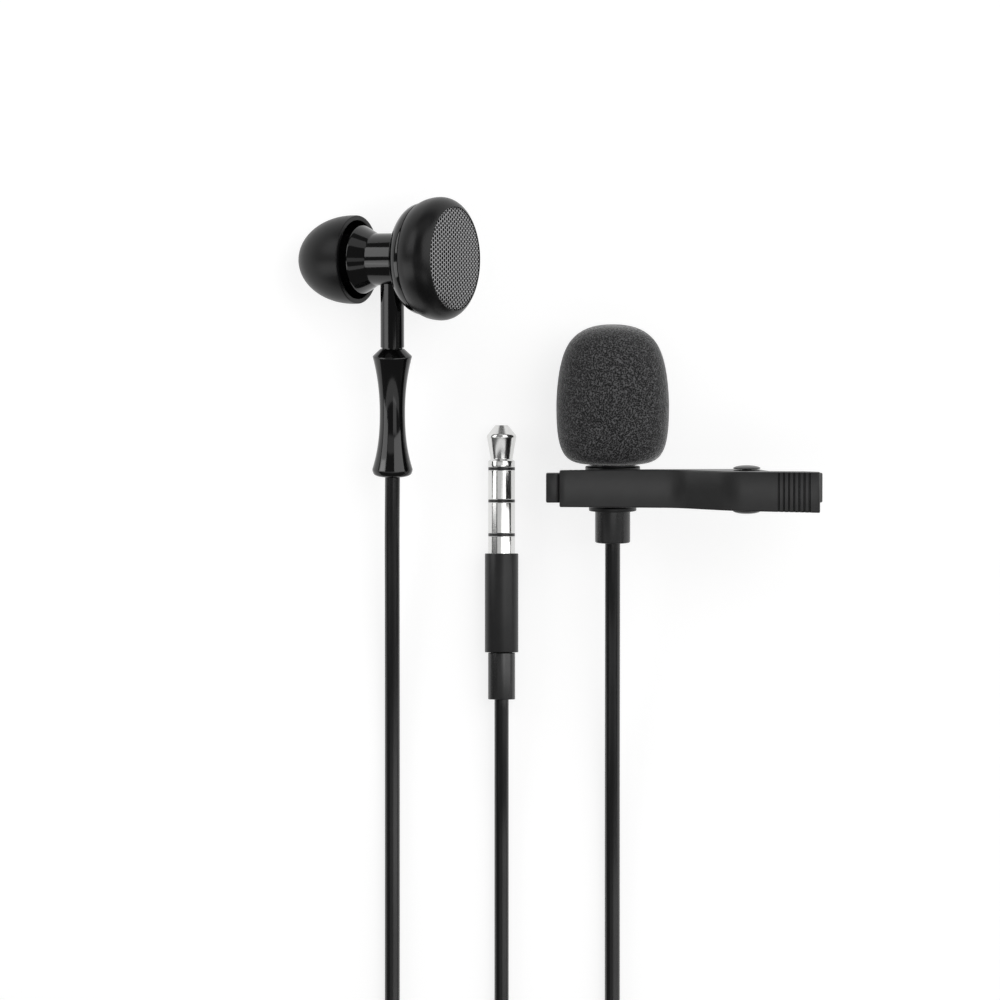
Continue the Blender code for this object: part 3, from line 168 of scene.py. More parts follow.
# Earphone, along its axis from the middle of the bezel
EAR_PLACE = (-0.0148, 0.0138, 0.011942)
EAR_RISE = math.radians(28.5)
BEZEL_CORE = 0.0055
BEZEL_RADIUS = 0.0022
BEZEL_BACK = 0.0033
BEZEL_FOOT = -0.0024
BEZEL_LIP = 0.00646          # the bezel's lip covers the edge of the mesh
BEZEL_LIP_DEPTH = 0.00012
MESH_RADIUS = 0.0067
MESH_EDGE = 0.00172          # height of the mesh's edge under the lip
GRILLE_RADIUS = 0.0062
GRILLE_LOW = 0.0013
GRILLE_DOME = 0.0005
MESH_PITCH = 0.00054
MESH_HOLE = 0.000228
MESH_SHEET = 0.00014
MESH_HOLE_SIDES = 12
SHELL_RADIUS = 0.007
SHELL_DEPTH = 0.0033
SHELL_WALL = 0.0006
SHELL_MOUTH = 0.0029
SHELL_MOUTH_LIP = 0.00035
NECK_TUBE_RADIUS = 0.00325
NECK_TUBE_END = -0.00924
EAR_FLANGE_RADIUS = 0.00428
EAR_FLANGE_PLACE = -0.0111
EAR_FLANGE_EDGE = 0.00025
NOZZLE_RADIUS = 0.0021
NOZZLE_BORE = 0.0013
NOZZLE_END = -0.0169
BARB_HEIGHT = 0.0003
BARB_PLACE = -0.0148
NOZZLE_MESH_PITCH = 0.0003
NOZZLE_MESH_HOLE = 0.00009375
TIP_CENTRE = -0.0125
TIP_LENGTH = 0.0073
TIP_RADIUS = 0.00554
TIP_RIM = -0.0119
TIP_WALL = 0.0006
TIP_SOUND_HOLE = 0.0016
TIP_SEAT = -0.0177
STEM_PLACE = -0.007
STEM_SLOPE = math.radians(8.0)
STEM_RADIUS = 0.00148
STEM_END = 0.01106
EAR_RELIEF_SHOULDER = 0.00094
EAR_RELIEF_TOP_RADIUS = 0.00248
EAR_RELIEF_WAIST_RADIUS = 0.00159
EAR_RELIEF_END_RADIUS = 0.00254
EAR_RELIEF_WAIST = 0.008
EAR_RELIEF_BULB = 0.0152
EAR_RELIEF_LENGTH = 0.016
EAR_RELIEF_FLARE = 2.05
EAR_RELIEF_SWELL = 2.4
EAR_RELIEF_CAP = ((0.985, 0.3), (0.93, 0.75), (0.80, 1.0))   # shares of the end's radius and height

# Four-pole 3.5 mm plug, along its axis from the tip
PLUG_PLACE = (-0.0073, -0.00686, 0.0021)
PLUG_APEX_RADIUS = 0.00081
PLUG_BULB_RADIUS = 0.00188
PLUG_BULB_PLACE = 0.00148
PLUG_BULB_ROUND = 0.0005
PLUG_BULB_ARC = (-50.0, 25.0)        # degrees
PLUG_WAIST_RADIUS = 0.00138
PLUG_WAIST_PLACE = 0.00426
PLUG_RADIUS = 0.0017
PLUG_POLES = (0.00527, 0.00931, 0.013545)
PLUG_BAND = 0.0004
PLUG_BAND_GAP = 0.00002
PLUG_CORE_RADIUS = 0.0005
PLUG_TUBE_BORE = 0.0008
PLUG_METAL_END = 0.01608
PLUG_HOUSING_RADIUS = 0.0021
PLUG_HOUSING_LENGTH = 0.0124
PLUG_SOCKET_DEPTH = 0.0028
PLUG_BOOT_RADIUS = 0.0017
PLUG_BOOT_LENGTH = 0.0057

# Cords and what is put away outside the photograph
BRANCH_DIAMETER = 0.0019
LEAD_DIAMETER = 0.0018
LOOP_POINTS = 60
CLIMB_TURN = 0.5
ROUTE_STEP = 0.0009
TURN_CLEARANCE = 0.00045
TIE_THICKNESS = 0.0004
TIE_WIDTH = 0.003
TIE_GAP = 0.0003
TIE_LAP = 0.6                # share of the bundle's width that the free end covers
TIE_LAP_THICKNESS = 0.7      # of the free end, as a share of the band's
TIE_SOFTNESS = 0.3           # how far the band's outer edges are drawn in, in thicknesses
TIE_CREASE = 35.0            # degrees
BRANCH_LAYERS = 2            # of turns in each branch's coil
LEAD_LAYERS = 4
MIC_COIL_OUTER = 0.0122
MIC_COIL_Y = -0.097
MIC_COIL_TURNS = 1.375
EAR_COIL_OUTER = 0.0134
EAR_COIL_Y = -0.097
EAR_COIL_TURNS = 2.5
LEAD_COIL_OUTER = 0.0152
LEAD_COIL_Y = -0.126
LEAD_COIL_TURNS = 4.0
SPLITTER_PLACE = (-0.0195, -0.1195)
SPLITTER_SIZE = (0.0076, 0.015, 0.0044)
SPLITTER_SEAM = 0.0002
SPLITTER_EDGE = 0.0009
SPLITTER_PORT = 0.0019

# Route points of the free cords, as the construction has them
MIC_RUN = ((0.00658, -0.030, 0.0049), (0.00658, -0.040, 0.0032), (0.00658, -0.050, 0.0018),
           (0.00658, -0.060, 0.0011), (0.00658, -0.071, 0.00095), (0.00658, -0.084, 0.0011))
EAR_RUN = ((-0.021, -0.020, 0.0039), (-0.021, -0.028, 0.0027), (-0.021, -0.037, 0.0016),
           (-0.021, -0.047, 0.0010), (-0.021, -0.066, 0.00095), (-0.021, -0.084, 0.0011))
PLUG_RUN = ((-0.0073, -0.048, 0.0017), (-0.0073, -0.055, 0.0011), (-0.0073, -0.064, 0.0009),
            (-0.0073, -0.085, 0.0009), (-0.0073, -0.104, 0.0009), (-0.0073, -0.114, 0.0011))
MIC_TAIL = ((0.0120, -0.0848, 0.0040), (0.0060, -0.0848, 0.0040), (-0.0008, -0.0848, 0.0037),
            (-0.0070, -0.0854, 0.0034), (-0.0128, -0.0882, 0.0024), (-0.0164, -0.0936, 0.0013),
            (-0.0176, -0.1000, 0.0010), (-0.0176, -0.1060, 0.0014))
EAR_TAIL = ((-0.02105, -0.1035, 0.0037), (-0.0213, -0.1075, 0.0028))
LEAD_TAIL = ((-0.0074, -0.1318, 0.0081), (-0.0090, -0.1366, 0.0066), (-0.0134, -0.1392, 0.0046),
             (-0.0180, -0.1370, 0.0029), (-0.0194, -0.1322, 0.0023))

FULL_TURN = 2.0 * math.pi
SMOOTH_ROUND = 112           # sides of a turned piece
SMALL_ROUND = 64             # and of one that is small or hidden
PORT_ROUND = 48
SOUND_HOLE_ROUND = 24
CREASE = 40.0                # degrees; edges that turn more stay sharp
ON_AXIS = 1e-9               # a radius that counts as none
SAME_PLACE = 1e-7            # points this close are one
SHEET_WELD = 0.00001         # the same between the cells of a perforated sheet


# ---------------------------------------------------------------- frames

def axes(origin, x_axis, z_axis):
    """A matrix whose local X and Z lie along the given directions."""
    x = Vector(x_axis).normalized()
    z = Vector(z_axis).normalized()
    y = z.cross(x)
    return Matrix.Translation(origin) @ Matrix((x, y, z)).transposed().to_4x4()


def joint_named(name):
    """The frame's own record of a joint."""
    return next(joint for joint in frame["joints"] if joint["name"] == name)


swivel = joint_named("clip_swivel")
MIC_DIRECTION = Vector(swivel["axis"]).normalized()
MIC_AXIS = axes(swivel["pos_m"], (1.0, 0.0, 0.0), MIC_DIRECTION)
CLIP_MIDDLE = Vector(swivel["pos_m"]) + MIC_DIRECTION * CLIP_OFFSET
CLIP_AXIS = axes(CLIP_MIDDLE, (1.0, 0.0, 0.0), -MIC_DIRECTION)
EAR_DIRECTION = Vector((math.cos(EAR_RISE), 0.0, math.sin(EAR_RISE)))
EAR_AXIS = axes(EAR_PLACE, (math.sin(EAR_RISE), 0.0, -math.cos(EAR_RISE)), EAR_DIRECTION)
STEM_AXIS = axes(EAR_AXIS @ Vector((0.0, 0.0, STEM_PLACE)), (1.0, 0.0, 0.0),
                 (0.0, -math.cos(STEM_SLOPE), -math.sin(STEM_SLOPE)))
PLUG_AXIS = axes(PLUG_PLACE, (1.0, 0.0, 0.0), (0.0, -1.0, 0.0))


# ---------------------------------------------------------------- camera

def make_camera():
    """Long lens straight above the set, as the photograph sees it."""
    data = bpy.data.cameras.new("camera")
    data.sensor_width = SENSOR
    data.lens = SENSOR * CAMERA_DISTANCE * PIXELS_PER_METRE / PHOTO_PIXELS
    data.clip_start = CAMERA_DISTANCE / 10.0
    data.clip_end = CAMERA_DISTANCE * 10.0
    camera = bpy.data.objects.new("camera", data)
    camera.location = Vector(VIEW_MIDDLE) + Vector((0.0, 0.0, CAMERA_DISTANCE))
    bpy.context.scene.collection.objects.link(camera)
    bpy.context.scene.camera = camera


# ---------------------------------------------------------------- node trees

def add(tree, kind, inputs=(), **settings):
    """A node with its settings; inputs are pairs of a socket and a value or another node's output."""
    node = tree.nodes.new(kind)
    for name, value in settings.items():
        setattr(node, name, value)
    for socket, value in inputs:
        if isinstance(value, bpy.types.NodeSocket):
            tree.links.new(value, node.inputs[socket])
        else:
            node.inputs[socket].default_value = value
    return node


def maths(tree, operation, first, second):
    """The result of a calculation with two values or outputs."""
    return add(tree, "ShaderNodeMath", [(0, first), (1, second)], operation=operation).outputs["Value"]


def new_material(name, colour, roughness, **sockets):
    """A principled material with the values that are the same all over the surface."""
    material = bpy.data.materials.new(name)
    material.use_nodes = True
    shader = material.node_tree.nodes["Principled BSDF"]
    shader.inputs["Base Color"].default_value = (*colour, 1.0)
    shader.inputs["Roughness"].default_value = roughness
    for socket, value in sockets.items():
        shader.inputs[socket.replace("_", " ")].default_value = value
    return material, material.node_tree, shader


def ramp(tree, value, low, high, start=0.3, end=0.7):
    """A blend from one colour to another as a value goes from start to end."""
    node = add(tree, "ShaderNodeValToRGB", [("Fac", value)])
    node.color_ramp.elements[0].position = start
    node.color_ramp.elements[0].color = (*low, 1.0)
    node.color_ramp.elements[1].position = end
    node.color_ramp.elements[1].color = (*high, 1.0)
    return node.outputs["Color"]


def spread(tree, value, low, high):
    """A value from 0 to 1 brought to a range from low to high."""
    node = add(tree, "ShaderNodeMapRange", [("Value", value), ("To Min", low), ("To Max", high)])
    return node.outputs["Result"]


def grained(tree, size, detail=3.0, stretch=(1.0, 1.0, 1.0)):
    """Noise whose grains are as wide as size, drawn out along an axis where stretch is small."""
    place = add(tree, "ShaderNodeTexCoord")
    mapping = add(tree, "ShaderNodeMapping", [("Vector", place.outputs["Object"]), ("Scale", stretch)])
    noise = add(tree, "ShaderNodeTexNoise", [("Vector", mapping.outputs["Vector"]), ("Scale", 1.0 / size),
                                             ("Detail", detail)])
    return noise.outputs["Fac"]


def bumped(tree, shader, height, depth):
    """Gives the surface a relief of the given depth."""
    bump = add(tree, "ShaderNodeBump", [("Height", height), ("Distance", depth)])
    tree.links.new(bump.outputs["Normal"], shader.inputs["Normal"])


def moulded(name, colour, roughness, grain, depth, worn=1.3, stretch=(1.0, 1.0, 1.0), **sockets):
    """Moulded or painted surface: a fine grain, with its colour and gloss a little uneven."""
    material, tree, shader = new_material(name, colour, roughness, **sockets)
    fine = grained(tree, grain, stretch=stretch)
    broad = grained(tree, grain * 30.0)
    pale = [channel * worn for channel in colour]
    tree.links.new(ramp(tree, broad, colour, pale), shader.inputs["Base Color"])
    tree.links.new(spread(tree, fine, roughness * 0.85, roughness * 1.15), shader.inputs["Roughness"])
    bumped(tree, shader, fine, depth)
    return material


def foam_material():
    """Open cells: fine struts painted pale as if lit, over hollows painted dark as if shaded, and a soft sheen at
    grazing angles.
    """
    material, tree, shader = new_material("open_cell_foam", (0.05, 0.05, 0.05), 0.95,
                                          Sheen_Weight=1.0, Sheen_Roughness=0.28, Specular_IOR_Level=0.12)
    place = add(tree, "ShaderNodeTexCoord").outputs["Object"]
    cells = add(tree, "ShaderNodeTexVoronoi", [("Vector", place), ("Scale", 1.0 / FOAM_CELL)])
    struts = grained(tree, FOAM_CELL * FOAM_STRUT, 1.0)
    height = maths(tree, "ADD", maths(tree, "MULTIPLY", cells.outputs["Distance"], FOAM_CELL_WEIGHT), struts)
    # painted light and shade: pale on the raised struts and dark where the cells are pressed in, following the
    # same height as the bump and the pits
    colour = ramp(tree, height, (0.011, 0.011, 0.0112), (0.110, 0.110, 0.1125), 0.84, 1.0)
    tree.links.new(colour, shader.inputs["Base Color"])
    bumped(tree, shader, height, FOAM_PIT)
    return material


def nickel_material():
    """Polished plating with faint turning marks round the plug."""
    material, tree, shader = new_material("polished_nickel", (0.74, 0.74, 0.73), 0.16, Metallic=1.0)
    marks = grained(tree, 0.00004, 2.0, (0.02, 1.0, 0.02))
    tree.links.new(spread(tree, marks, 0.13, 0.2), shader.inputs["Roughness"])
    bumped(tree, shader, marks, 0.0000006)
    return material


def steel_material(name, colour, roughness, grain):
    """Drawn or rolled metal, a little uneven in colour and gloss."""
    material, tree, shader = new_material(name, colour, roughness, Metallic=1.0)
    marks = grained(tree, grain)
    tree.links.new(spread(tree, marks, roughness * 0.8, roughness * 1.3), shader.inputs["Roughness"])
    dull = [channel * 0.85 for channel in colour]
    tree.links.new(ramp(tree, marks, dull, colour), shader.inputs["Base Color"])
    return material


def woven_material(name, dark, pale, thread):
    """Close cloth: two sets of threads over and under each other."""
    material, tree, shader = new_material(name, dark, 0.9, Sheen_Weight=0.3)
    place = add(tree, "ShaderNodeTexCoord").outputs["Object"]
    warp = add(tree, "ShaderNodeTexWave", [("Vector", place), ("Scale", 1.0 / thread)], bands_direction="X")
    weft = add(tree, "ShaderNodeTexWave", [("Vector", place), ("Scale", 1.0 / thread)], bands_direction="Y")
    cloth = maths(tree, "MULTIPLY", warp.outputs["Fac"], weft.outputs["Fac"])
    tree.links.new(ramp(tree, cloth, dark, pale), shader.inputs["Base Color"])
    bumped(tree, shader, cloth, thread / 2.0)
    return material


def make_finishes():
    """Every finish of the set by its short name."""
    return {
        "foam": foam_material(),
        "clip_black": moulded("satin_black_paint", (0.012, 0.012, 0.0122), 0.30, 0.00006, 0.0000015,
                              Specular_IOR_Level=0.5),
        "housing_black": moulded("satin_black_moulding", (0.012, 0.012, 0.0123), 0.34, 0.00008, 0.0000015,
                                 Specular_IOR_Level=0.3),
        "relief_black": moulded("soft_black_moulding", (0.013, 0.013, 0.0133), 0.26, 0.0001, 0.0000015,
                                Specular_IOR_Level=0.5),
        "cord_black": moulded("cord_jacket", (0.003, 0.003, 0.0032), 0.22, 0.00012, 0.0000015),
        "gloss_black": moulded("gloss_black_moulding", (0.002, 0.002, 0.0021), 0.09, 0.0008, 0.0000004,
                               Specular_IOR_Level=0.5),
        "bezel_black": moulded("satin_gloss_black", (0.003, 0.003, 0.0032), 0.33, 0.00006, 0.0000004,
                               Specular_IOR_Level=0.25),
        "silicone": moulded("soft_silicone", (0.004, 0.004, 0.0042), 0.36, 0.0002, 0.000002,
                            Specular_IOR_Level=0.22),
        "nickel": nickel_material(),
        "spring_steel": steel_material("spring_wire", (0.60, 0.60, 0.61), 0.28, 0.0001),
        "mesh_steel": steel_material("perforated_steel", (0.36, 0.36, 0.365), 0.26, 0.0002),
        "insulator": moulded("insulating_black", (0.006, 0.006, 0.006), 0.35, 0.0001, 0.000002),
        "board": moulded("circuit_board", (0.02, 0.12, 0.05), 0.45, 0.0003, 0.000004),
        "copper": steel_material("enamelled_copper", (0.72, 0.36, 0.20), 0.35, 0.0001),
        "film": moulded("thin_film", (0.60, 0.56, 0.42), 0.30, 0.0003, 0.000002),
        "tie_black": woven_material("hook_and_loop", (0.010, 0.010, 0.010), (0.05, 0.05, 0.051), 0.0004),
        "cloth": woven_material("acoustic_cloth", (0.004, 0.004, 0.004), (0.02, 0.02, 0.02), 0.00012),
    }


# ---------------------------------------------------------------- shapes

def soften(points, radius, steps=4, least_angle=18.0):
    """The outline with each of its corners rounded."""
    out = [Vector(points[0])]
    for before, corner, after in zip(points, points[1:], points[2:]):
        before, corner, after = Vector(before), Vector(corner), Vector(after)
        back, forth = before - corner, after - corner
        turn = 180.0 - math.degrees(back.angle(forth, math.pi))
        reach = min(radius, 0.45 * back.length, 0.45 * forth.length)
        if turn < least_angle or reach < 1e-6:
            out.append(corner)
            continue
        start, end = corner + back.normalized() * reach, corner + forth.normalized() * reach
        for step in range(steps + 1):
            share = step / steps
            out.append(start * (1.0 - share) ** 2 + corner * 2.0 * share * (1.0 - share) + end * share ** 2)
    out.append(Vector(points[-1]))
    return out


def arc(centre, radii, start, end, steps):
    """Points on an ellipse's arc, angles in degrees."""
    angles = np.radians(np.linspace(start, end, steps + 1))
    return [(centre[0] + radii[0] * math.cos(angle), centre[1] + radii[1] * math.sin(angle))
            for angle in angles]


def piece_from(name, builder, look, crease=CREASE):
    """A finished piece from a bmesh that is already in the row's frame."""
    bmesh.ops.remove_doubles(builder, verts=builder.verts, dist=SAME_PLACE)
    bmesh.ops.dissolve_degenerate(builder, edges=builder.edges, dist=SAME_PLACE / 10.0)
    bmesh.ops.recalc_face_normals(builder, faces=builder.faces)
    mesh = bpy.data.meshes.new(name)
    builder.to_mesh(mesh)
    builder.free()
    mesh.shade_smooth()
    mesh.set_sharp_from_angle(angle=math.radians(crease))
    mesh.materials.append(finishes[look])
    piece = bpy.data.objects.new(name, mesh)
    bpy.context.scene.collection.objects.link(piece)
    return piece


def turned(name, outline, place, look, segments=SMOOTH_ROUND, crease=CREASE):
    """Piece turned about a frame's Z from (radius, height) points; one off the axis closes into a ring."""
    builder = bmesh.new()
    closed = outline[0][0] > ON_AXIS
    angles = np.linspace(0.0, FULL_TURN, segments, endpoint=False)
    rings = []
    for radius, height in outline:
        if radius < ON_AXIS:
            rings.append([builder.verts.new(place @ Vector((0.0, 0.0, height)))] * segments)
            continue
        points = [Vector((radius * math.cos(angle), radius * math.sin(angle), height)) for angle in angles]
        rings.append([builder.verts.new(place @ point) for point in points])
    pairs = list(zip(rings, rings[1:])) + ([(rings[-1], rings[0])] if closed else [])
    for first, second in pairs:
        for index in range(segments):
            after = (index + 1) % segments
            corners = [first[index], first[after], second[after], second[index]]
            corners = [vert for spot, vert in enumerate(corners) if vert not in corners[:spot]]
            if len(corners) > 2:
                builder.faces.new(corners)
    return piece_from(name, builder, look, crease)


def skin(builder, rings):
    """Faces between each ring of points and the next."""
    for first, second in zip(rings, rings[1:]):
        for index in range(len(first)):
            after = (index + 1) % len(first)
            builder.faces.new((first[index], first[after], second[after], second[index]))


def lofted(name, sections, place, look, crease=CREASE):
    """A closed piece through equal rings of points, with a face at each end."""
    builder = bmesh.new()
    rings = [[builder.verts.new(place @ Vector(point)) for point in section] for section in sections]
    skin(builder, rings)
    builder.faces.new(rings[0])
    builder.faces.new(rings[-1])
    return piece_from(name, builder, look, crease)


def plain_mesh(thing):
    """A mesh of the object as its curve or its modifiers make it."""
    graph = bpy.context.evaluated_depsgraph_get()
    return bpy.data.meshes.new_from_object(thing.evaluated_get(graph), depsgraph=graph)


def settled(thing):
    """The object with its modifiers' result as its own mesh."""
    mesh = plain_mesh(thing)
    thing.modifiers.clear()
    thing.data = mesh
    return thing


def combined(target, other, operation):
    """The target with another piece cut out of it or joined to it; the other piece is used up."""
    modifier = target.modifiers.new("shape", "BOOLEAN")
    modifier.operation = operation
    modifier.solver = "EXACT"
    modifier.object = other
    settled(target)
    bpy.data.objects.remove(other, do_unlink=True)
    target.data.set_sharp_from_angle(angle=math.radians(CREASE))
    return target


def rounded_block(name, low, high, place, look, edge, steps=4):
    """A block between two corners with all its edges rounded."""
    builder = bmesh.new()
    size, middle = Vector(high) - Vector(low), (Vector(high) + Vector(low)) / 2.0
    shape = Matrix.Translation(middle) @ Matrix.Diagonal((*size, 1.0))
    bmesh.ops.create_cube(builder, size=1.0, matrix=shape)
    bmesh.ops.bevel(builder, geom=list(builder.edges), offset=edge, segments=steps, profile=0.5,
                    affect="EDGES")
    builder.transform(place)
    return piece_from(name, builder, look)


def plate(name, outline, half_width, place, look):
    """A flat outline in a frame's XY plane, extruded to both sides of it."""
    sections = [[(x, y, z) for x, y in outline] for z in (-half_width, half_width)]
    return lofted(name, sections, place, look)


def tube(name, points, diameter, look, resolution=5):
    """A round tube along a line of points, closed at both ends."""
    data = bpy.data.curves.new(name, "CURVE")
    data.dimensions = "3D"
    data.bevel_depth = diameter / 2.0
    data.bevel_resolution = resolution
    data.use_fill_caps = True
    spline = data.splines.new("POLY")
    spline.points.add(len(points) - 1)
    for target, point in zip(spline.points, points):
        target.co = (*point, 1.0)
    data.materials.append(finishes[look])
    piece = bpy.data.objects.new(name, data)
    bpy.context.scene.collection.objects.link(piece)
    return piece


def geometry_tree(name, sizes):
    """A geometry tree with its named sizes, and its input and output nodes."""
    tree = bpy.data.node_groups.new(name, "GeometryNodeTree")
    tree.interface.new_socket(name="Geometry", in_out="INPUT", socket_type="NodeSocketGeometry")
    tree.interface.new_socket(name="Geometry", in_out="OUTPUT", socket_type="NodeSocketGeometry")
    for size, value in sizes.items():
        socket = tree.interface.new_socket(name=size, in_out="INPUT", socket_type="NodeSocketFloat")
        socket.default_value = value
    return tree, add(tree, "NodeGroupInput"), add(tree, "NodeGroupOutput")


def shaped_by(thing, tree, sizes, look):
    """Runs a geometry tree on an object and keeps the result as its plain mesh."""
    modifier = thing.modifiers.new(tree.name, "NODES")
    modifier.node_group = tree
    for socket in tree.interface.items_tree:
        if socket.in_out == "INPUT" and socket.name in sizes:
            modifier[socket.identifier] = sizes[socket.name]
    settled(thing)
    thing.data.materials.clear()
    thing.data.materials.append(finishes[look])
    return thing


def shown(piece, body, slot, *nodes):
    """The piece rides on its body and stands for its nodes, which are hidden; the slot argument is not used."""
    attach(piece, body)
    if nodes:
        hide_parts(*nodes)
    return piece


def fixed(name, outline, place, look, node):
    """A turned piece of the corded set that stands for a node and has its slot's finish."""
    return shown(turned(name, outline, place, look), "corded_set", look, node)


# ---------------------------------------------------------------- cords

def smooth_route(points, spacing):
    """Evenly spaced points on a smooth curve through the route's own points."""
    knots = np.array([tuple(point) for point in points], dtype=float)
    chords = np.linalg.norm(np.diff(knots, axis=0), axis=1)
    times = np.concatenate(([0.0], np.cumsum(np.sqrt(chords))))
    slopes = np.gradient(knots, times, axis=0)
    dense = []
    for index in range(len(knots) - 1):
        step = times[index + 1] - times[index]
        share = np.linspace(0.0, 1.0, 40, endpoint=index == len(knots) - 2)[:, None]
        dense.append((2 * share ** 3 - 3 * share ** 2 + 1) * knots[index]
                     + (share ** 3 - 2 * share ** 2 + share) * step * slopes[index]
                     + (-2 * share ** 3 + 3 * share ** 2) * knots[index + 1]
                     + (share ** 3 - share ** 2) * step * slopes[index + 1])
    dense = np.concatenate(dense)
    lengths = np.concatenate(([0.0], np.cumsum(np.linalg.norm(np.diff(dense, axis=0), axis=1))))
    count = max(4, round(lengths[-1] / spacing)) + 1
    wanted = np.linspace(0.0, lengths[-1], count)
    return [Vector([np.interp(distance, lengths, dense[:, axis]) for axis in range(3)])
            for distance in wanted]


def climb(share):
    """A smooth step from 0 to 1."""
    share = min(1.0, max(0.0, share))
    return share * share * (3.0 - 2.0 * share)


def coil_points(centre, start, sense, outer, layer_turns, layers, diameter):
    """A round coil that winds in and out again, a layer up at each reversal, with straight ends."""
    pitch = diameter + TURN_CLEARANCE
    lift = TIE_THICKNESS + TIE_GAP
    count = round(layer_turns * layers * LOOP_POINTS)
    points = []
    for index in range(count + 1):
        turn = index / LOOP_POINTS
        layer = min(layers - 1, int(turn / layer_turns))
        share = turn - layer * layer_turns
        inward = share if layer % 2 == 0 else layer_turns - share
        level = sum(climb((turn - layer_turns * edge) / CLIMB_TURN + 0.5) for edge in range(1, layers))
        angle = start + sense * FULL_TURN * turn
        radius = outer - pitch * inward
        points.append(Vector((centre[0] + radius * math.cos(angle), centre[1] + radius * math.sin(angle),
                              lift + diameter / 2.0 + level * pitch)))
    last = start + sense * FULL_TURN * layer_turns * layers
    entry = sense * Vector((-math.sin(start), math.cos(start), 0.0))
    leave = sense * Vector((-math.sin(last), math.cos(last), 0.0))
    return [points[0] - entry * diameter] + points + [points[-1] + leave * diameter], entry, leave


def mouth(place, height, inward):
    """Where a cord meets the piece that holds it, and where its end lies inside, along a frame's Z."""
    outside = place @ Vector((0.0, 0.0, height - inward * CORD_GAP))
    return outside, place @ Vector((0.0, 0.0, height + inward * CORD_INSERT))


def cord_line(start, run, coil, tail, end, diameter):
    """One cord's whole centreline: its run to the coil, the coil, and its tail to the splitter."""
    points, entry, leave = coil
    run_end = points[0] - entry * CORD_GAP
    tail_start = points[-1] + leave * CORD_GAP
    first = smooth_route([start[0]] + list(run) + [run_end - entry * diameter * 2.0, run_end], ROUTE_STEP)
    last = smooth_route([tail_start] + list(tail) + [end[0]], ROUTE_STEP)
    return [start[1]] + first + points + last + [end[1]]


def band_strip(builder, path, lift, thickness, place):
    """A band's sections, across each point of a path of places and outward directions, and its sides."""
    half, soft = TIE_WIDTH / 2.0, thickness * TIE_SOFTNESS
    rings = []
    for x, z, out_x, out_z in path:
        inner_edge = (x + out_x * lift, z + out_z * lift)
        outer_edge = (x + out_x * (lift + thickness), z + out_z * (lift + thickness))
        section = [(inner_edge, -half), (inner_edge, half), (outer_edge, half - soft),
                   (outer_edge, soft - half)]
        rings.append([builder.verts.new(place @ Vector((across, side, up)))
                      for (across, up), side in section])
    skin(builder, rings)
    return rings


def tie_band(name, centre, angle, outer, layer_turns, layers, diameter):
    """Hook-and-loop band round the coil's bundle, its free end lapped over the top."""
    pitch = diameter + TURN_CLEARANCE
    near = outer - pitch * layer_turns - diameter / 2.0 - TIE_GAP
    far = outer + diameter / 2.0 + TIE_GAP
    top = TIE_THICKNESS + 2.0 * TIE_GAP + diameter + pitch * (layers - 1)
    place = axes((*centre, 0.0), (math.cos(angle), math.sin(angle), 0.0), (0.0, 0.0, 1.0))
    corner = diameter / 2.0
    corners = ((far - corner, top - corner), (near + corner, top - corner),
               (near + corner, TIE_THICKNESS + corner), (far - corner, TIE_THICKNESS + corner))
    wrap = []
    for quarter, (x, z) in enumerate(corners):
        for turn in np.radians(np.linspace(90.0 * quarter, 90.0 * (quarter + 1), 7)):
            out_x, out_z = math.cos(turn), math.sin(turn)
            wrap.append((x + corner * out_x, z + corner * out_z, out_x, out_z))
    wrap.append(wrap[0])
    middle = (near + far) / 2.0
    reach = (far - near) * TIE_LAP / 2.0
    lap = [(middle + reach * share, top, 0.0, 1.0) for share in np.linspace(-1.0, 1.0, 5)]
    builder = bmesh.new()
    band_strip(builder, wrap, 0.0, TIE_THICKNESS, place)
    ends = band_strip(builder, lap, TIE_THICKNESS, TIE_THICKNESS * TIE_LAP_THICKNESS, place)
    builder.faces.new(ends[0])
    builder.faces.new(ends[-1])
    return piece_from(name, builder, "tie_black", TIE_CREASE)


def splitter_ports():
    """Frames at the splitter's three cord holes, their Z pointing out: microphone, earphone, lead."""
    middle = SPLITTER_SIZE[2] / 2.0
    half = SPLITTER_SIZE[1] / 2.0
    ports = []
    for x, way in ((SPLITTER_PORT, 1.0), (-SPLITTER_PORT, 1.0), (0.0, -1.0)):
        spot = (SPLITTER_PLACE[0] + x, SPLITTER_PLACE[1] + way * half, middle)
        ports.append(axes(spot, (1.0, 0.0, 0.0), (0.0, way, 0.0)))
    return ports


